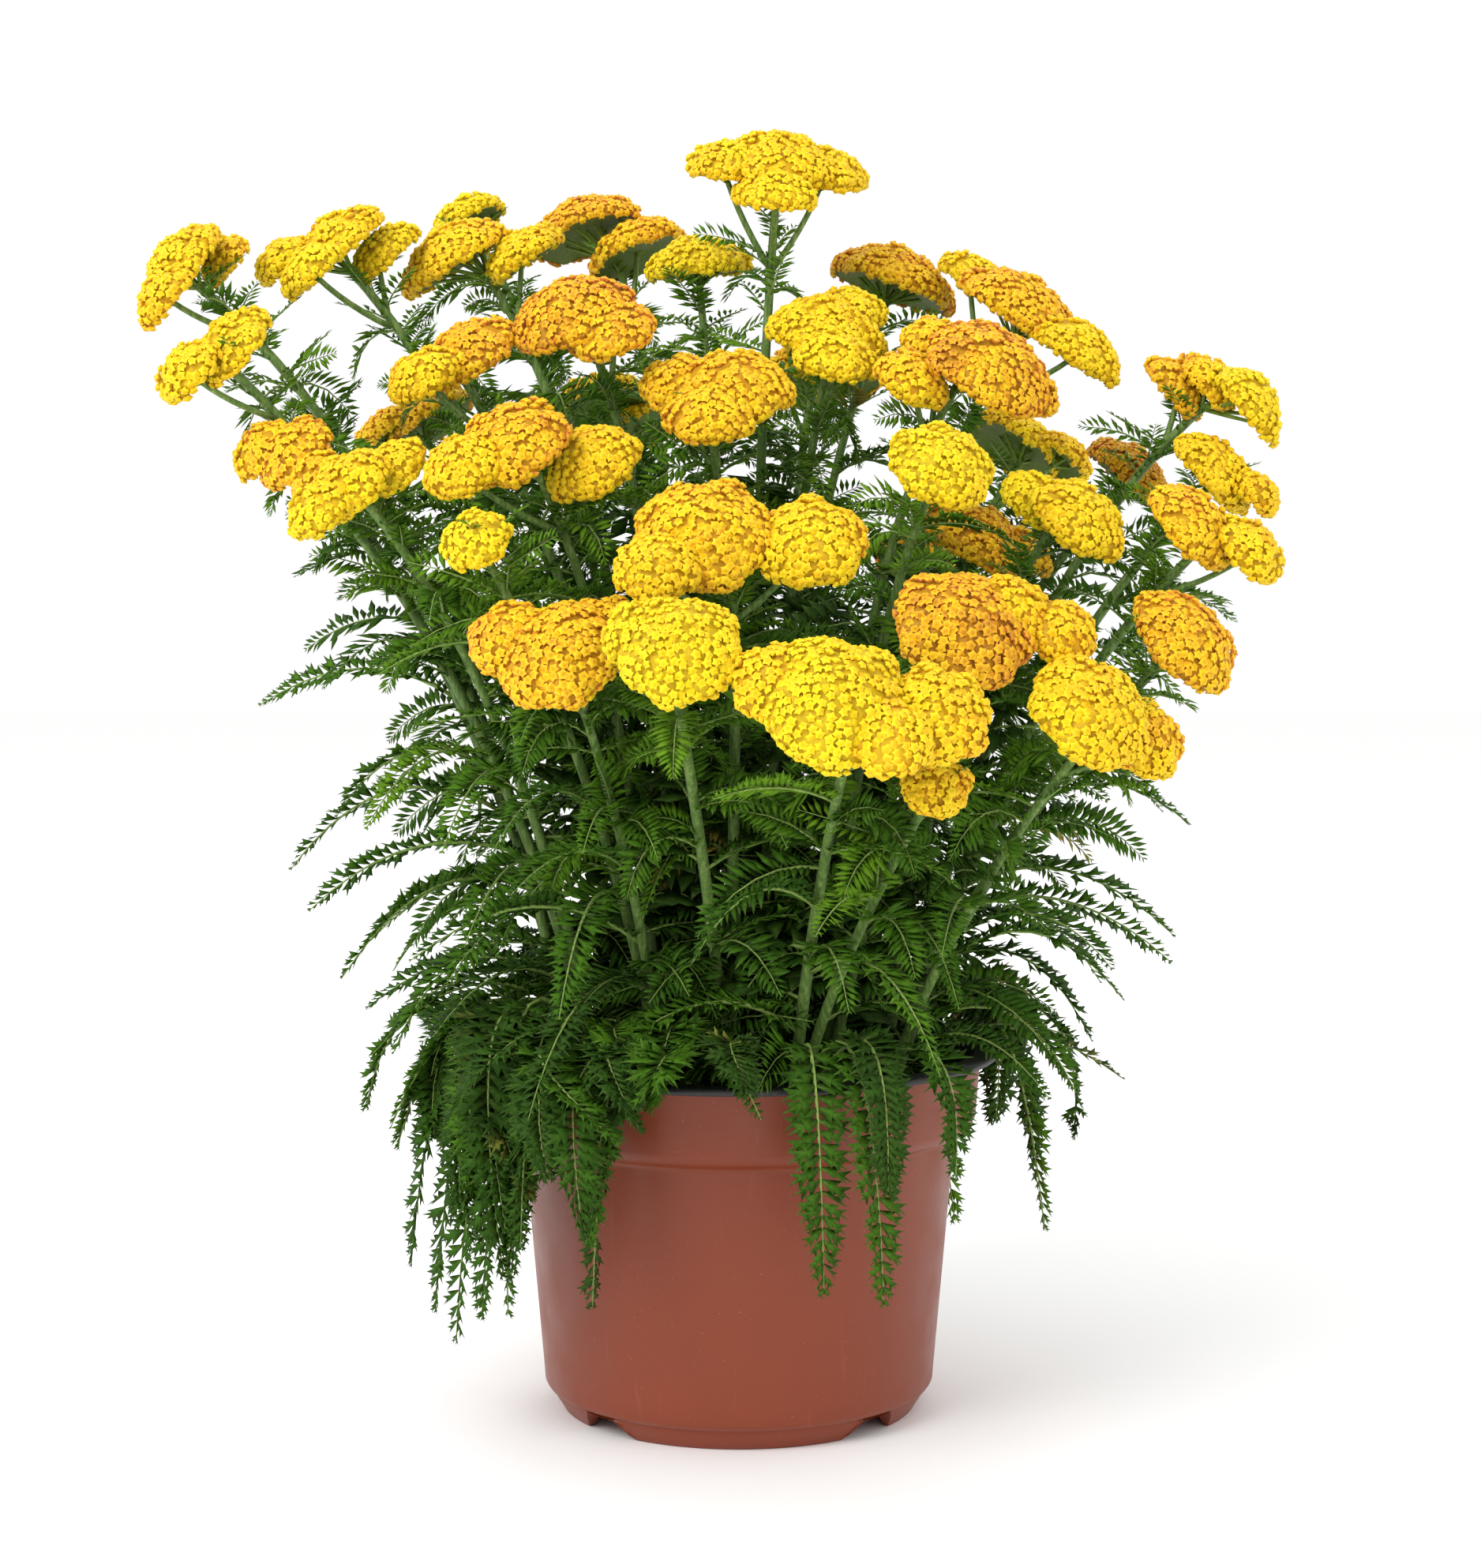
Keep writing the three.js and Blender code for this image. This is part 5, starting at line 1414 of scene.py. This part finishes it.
def make_pot():
    """The turned rings, closed on the axis under and over the floor; brown up to the lip, black beyond."""
    shape, rings = Shape(), profile[1:-1]
    angle = np.arange(POT_SEGMENTS) * 2 * np.pi / POT_SEGMENTS
    points = np.concatenate([pot_rings(rings, angle).reshape(-1, 3), [(0, 0, FLOOR_LOW), (0, 0, FLOOR_HIGH)]])
    along = np.concatenate([[0], np.cumsum(np.linalg.norm(np.diff(rings, axis=0), axis=1))])
    chart = np.stack(np.broadcast_arrays(angle / (2 * np.pi), (along / along[-1])[:, None]), -1)
    chart = np.concatenate([chart.reshape(-1, 2), [(0.5, 0), (0.5, 1)]])
    quads = tube_faces(len(rings), POT_SEGMENTS)[0]
    ring = np.arange(POT_SEGMENTS)
    after, last = (ring + 1) % POT_SEGMENTS, (len(rings) - 1) * POT_SEGMENTS
    low, high = fan(after, ring, len(points) - 2), fan(last + ring, last + after, len(points) - 1)
    brown = (len(outside) - 2) * POT_SEGMENTS
    shape.add(points, chart, [quads[:brown], low, quads[brown:], high],
              [BROWN_LOOK, BROWN_LOOK, BLACK_LOOK, BLACK_LOOK])
    return make_piece("nursery_pot", shape, ["pot"], [brown_plastic, black_plastic])


pot = make_pot()
print("points of the pot before its holes:", len(pot.data.vertices))

# %% Drain holes
DRAIN_RING, DRAIN_RADIUS = 52.0, 6.0
DRILL_LOW, DRILL_HIGH = 5.0, 17.0


def drill(piece, places):
    """Cuts round holes by Boolean difference with one cylinder after another."""
    for x, y in places:
        cutter_shape = Shape()
        line = np.array([[(x, y, DRILL_LOW), (x, y, DRILL_HIGH)]])
        add_tubes(cutter_shape, line, DRAIN_RADIUS, 32, (0.5, 0.02), BROWN_LOOK)
        cutter = make_piece("cutter", cutter_shape, [], [brown_plastic])
        cut = piece.modifiers.new("hole", "BOOLEAN")
        cut.operation, cut.solver, cut.object = "DIFFERENCE", "EXACT", cutter
        bpy.context.view_layer.update()
        drilled = bpy.data.meshes.new_from_object(piece.evaluated_get(bpy.context.evaluated_depsgraph_get()))
        piece.modifiers.clear()
        piece.data = drilled
        bpy.data.objects.remove(cutter)


drill(pot, [(DRAIN_RING, 0), (0, DRAIN_RING), (-DRAIN_RING, 0), (0, -DRAIN_RING)])
pot.data.set_sharp_from_angle(angle=math.radians(40))
print("pot faces:", len(pot.data.polygons))

# %% [markdown]
# ## Soil
# Potting soil is loose peat: dark brown, crumbly, with a few white grains. It fills the pot to a few
# centimetres below the lip, a little higher in the middle where the crowns stand. Its top is uneven, and
# loose crumbs and grains lie half sunk in it, each a ball of twenty faces drawn out of shape.

# %% Soil with crumbs
SOIL_RINGS, SOIL_SEGMENTS = 40, 120
SOIL_RADIUS, SOIL_WALL = 93.2, (12.6, 60, 114)  # of its top, and heights at which it follows the pot's wall
BUMPS, CRUMBS, GRAINS = 420, 420, 70
SCATTER_RADIUS = 90
CRUMB_LOOK, GRAIN_LOOK = 0, 1


def soil_height(x, y, bumps):
    """A low cone with many rounded bumps: each adds its height times a bell curve of its distance."""
    height = SOIL_RISE - 1 - (SOIL_RISE - SOIL_EDGE) * np.hypot(x, y) / 94
    for bump_x, bump_y, wide, tall in bumps:
        height = height + tall * np.exp(-((x - bump_x) ** 2 + (y - bump_y) ** 2) / wide**2)
    return height


def ball_shape():
    """An icosahedron: three golden rectangles square to each other give its twelve corners."""
    golden = (1 + math.sqrt(5)) / 2
    corners = unit([(-1, golden, 0), (1, golden, 0), (-1, -golden, 0), (1, -golden, 0), (0, -1, golden),
                    (0, 1, golden), (0, -1, -golden), (0, 1, -golden), (golden, 0, -1), (golden, 0, 1),
                    (-golden, 0, -1), (-golden, 0, 1)])
    return corners, np.array([
        (0, 11, 5), (0, 5, 1), (0, 1, 7), (0, 7, 10), (0, 10, 11), (1, 5, 9), (5, 11, 4), (11, 10, 2),
        (10, 7, 6), (7, 1, 8), (3, 9, 4), (3, 4, 2), (3, 2, 6), (3, 6, 8), (3, 8, 9), (4, 9, 5), (2, 4, 11),
        (6, 2, 10), (8, 6, 7), (9, 8, 1)])


def soil_chart(points):
    """Seen from above."""
    return np.clip(points[..., :2] / 200 + 0.5, 0, 1)


def add_crumbs(shape, bumps, count, look, small, large):
    """Balls of random size, each corner and each axis of them drawn out by its own share."""
    ball, ball_faces = ball_shape()
    out, turn = np.sqrt(rng.uniform(0, 1, count)) * SCATTER_RADIUS, rng.uniform(0, 2 * np.pi, count)
    x, y = out * np.cos(turn), out * np.sin(turn)
    middle = np.stack([x, y, soil_height(x, y, bumps)], 1)[:, None]
    size = rng.uniform(small, large, (count, 1, 1)) * rng.uniform(0.7, 1.2, (count, len(ball), 1))
    crumbs = middle + ball * size * rng.uniform(0.7, 1.2, (count, 1, 3))
    shape.add(crumbs, soil_chart(crumbs), repeated([ball_faces], count, len(ball)), look)


def make_soil():
    """Rings up the pot's wall and inwards over the top, and the crumbs and grains on it."""
    shape = Shape()
    spots = rng.uniform(-95, 95, (BUMPS, 2))
    bumps = np.column_stack([spots, rng.uniform(1.5, 5, BUMPS), rng.uniform(-1.5, 2.2, BUMPS)])
    wall_height = np.array(SOIL_WALL)
    wall_radius = 84.1 + 9.6 * (wall_height - 11) / 111.7
    angle = np.arange(SOIL_SEGMENTS) * 2 * np.pi / SOIL_SEGMENTS
    radius = np.concatenate([wall_radius, np.linspace(SOIL_RADIUS, 1.5, SOIL_RINGS)])[:, None]
    x, y = radius * np.cos(angle), radius * np.sin(angle)
    z = soil_height(x, y, bumps)
    z[:len(wall_height)] = wall_height[:, None]
    points = np.stack([x, y, z], -1).reshape(-1, 3)
    shape.add(points, soil_chart(points), tube_faces(len(radius), SOIL_SEGMENTS), CRUMB_LOOK)
    add_crumbs(shape, bumps, CRUMBS, CRUMB_LOOK, 1.0, 2.6)
    add_crumbs(shape, bumps, GRAINS, GRAIN_LOOK, 0.8, 1.7)
    return make_piece("potting_soil", shape, ["soil"], [soil_look, grain_look])


def earthy(name, dark, light, grain):
    """Earth or mineral: two colours mixed by a coarse noise, with deep small bumps."""
    material, tree, shader = new_material(name)
    colour = shades(tree, noise(tree, on_object(tree), grain, 6.0), {0.35: dark, 0.7: light})
    finish_surface(shader, mottled(tree, colour, grain * 2, 1.0, 0.3), Roughness=0.95)
    return material


soil_look = earthy("soil", (34, 24, 18), (74, 54, 40), 260.0)
grain_look = earthy("white_grains", (186, 180, 168), (226, 222, 212), 300.0)
soil = make_soil()
print("soil faces:", len(soil.data.polygons))

# %% [markdown]
# ## The solid model's box
# The dressed plant must stay inside the box of the solid one, whose corners are printed here.

# %% Print the solid model's box
print("solid model", cad_low, cad_high)
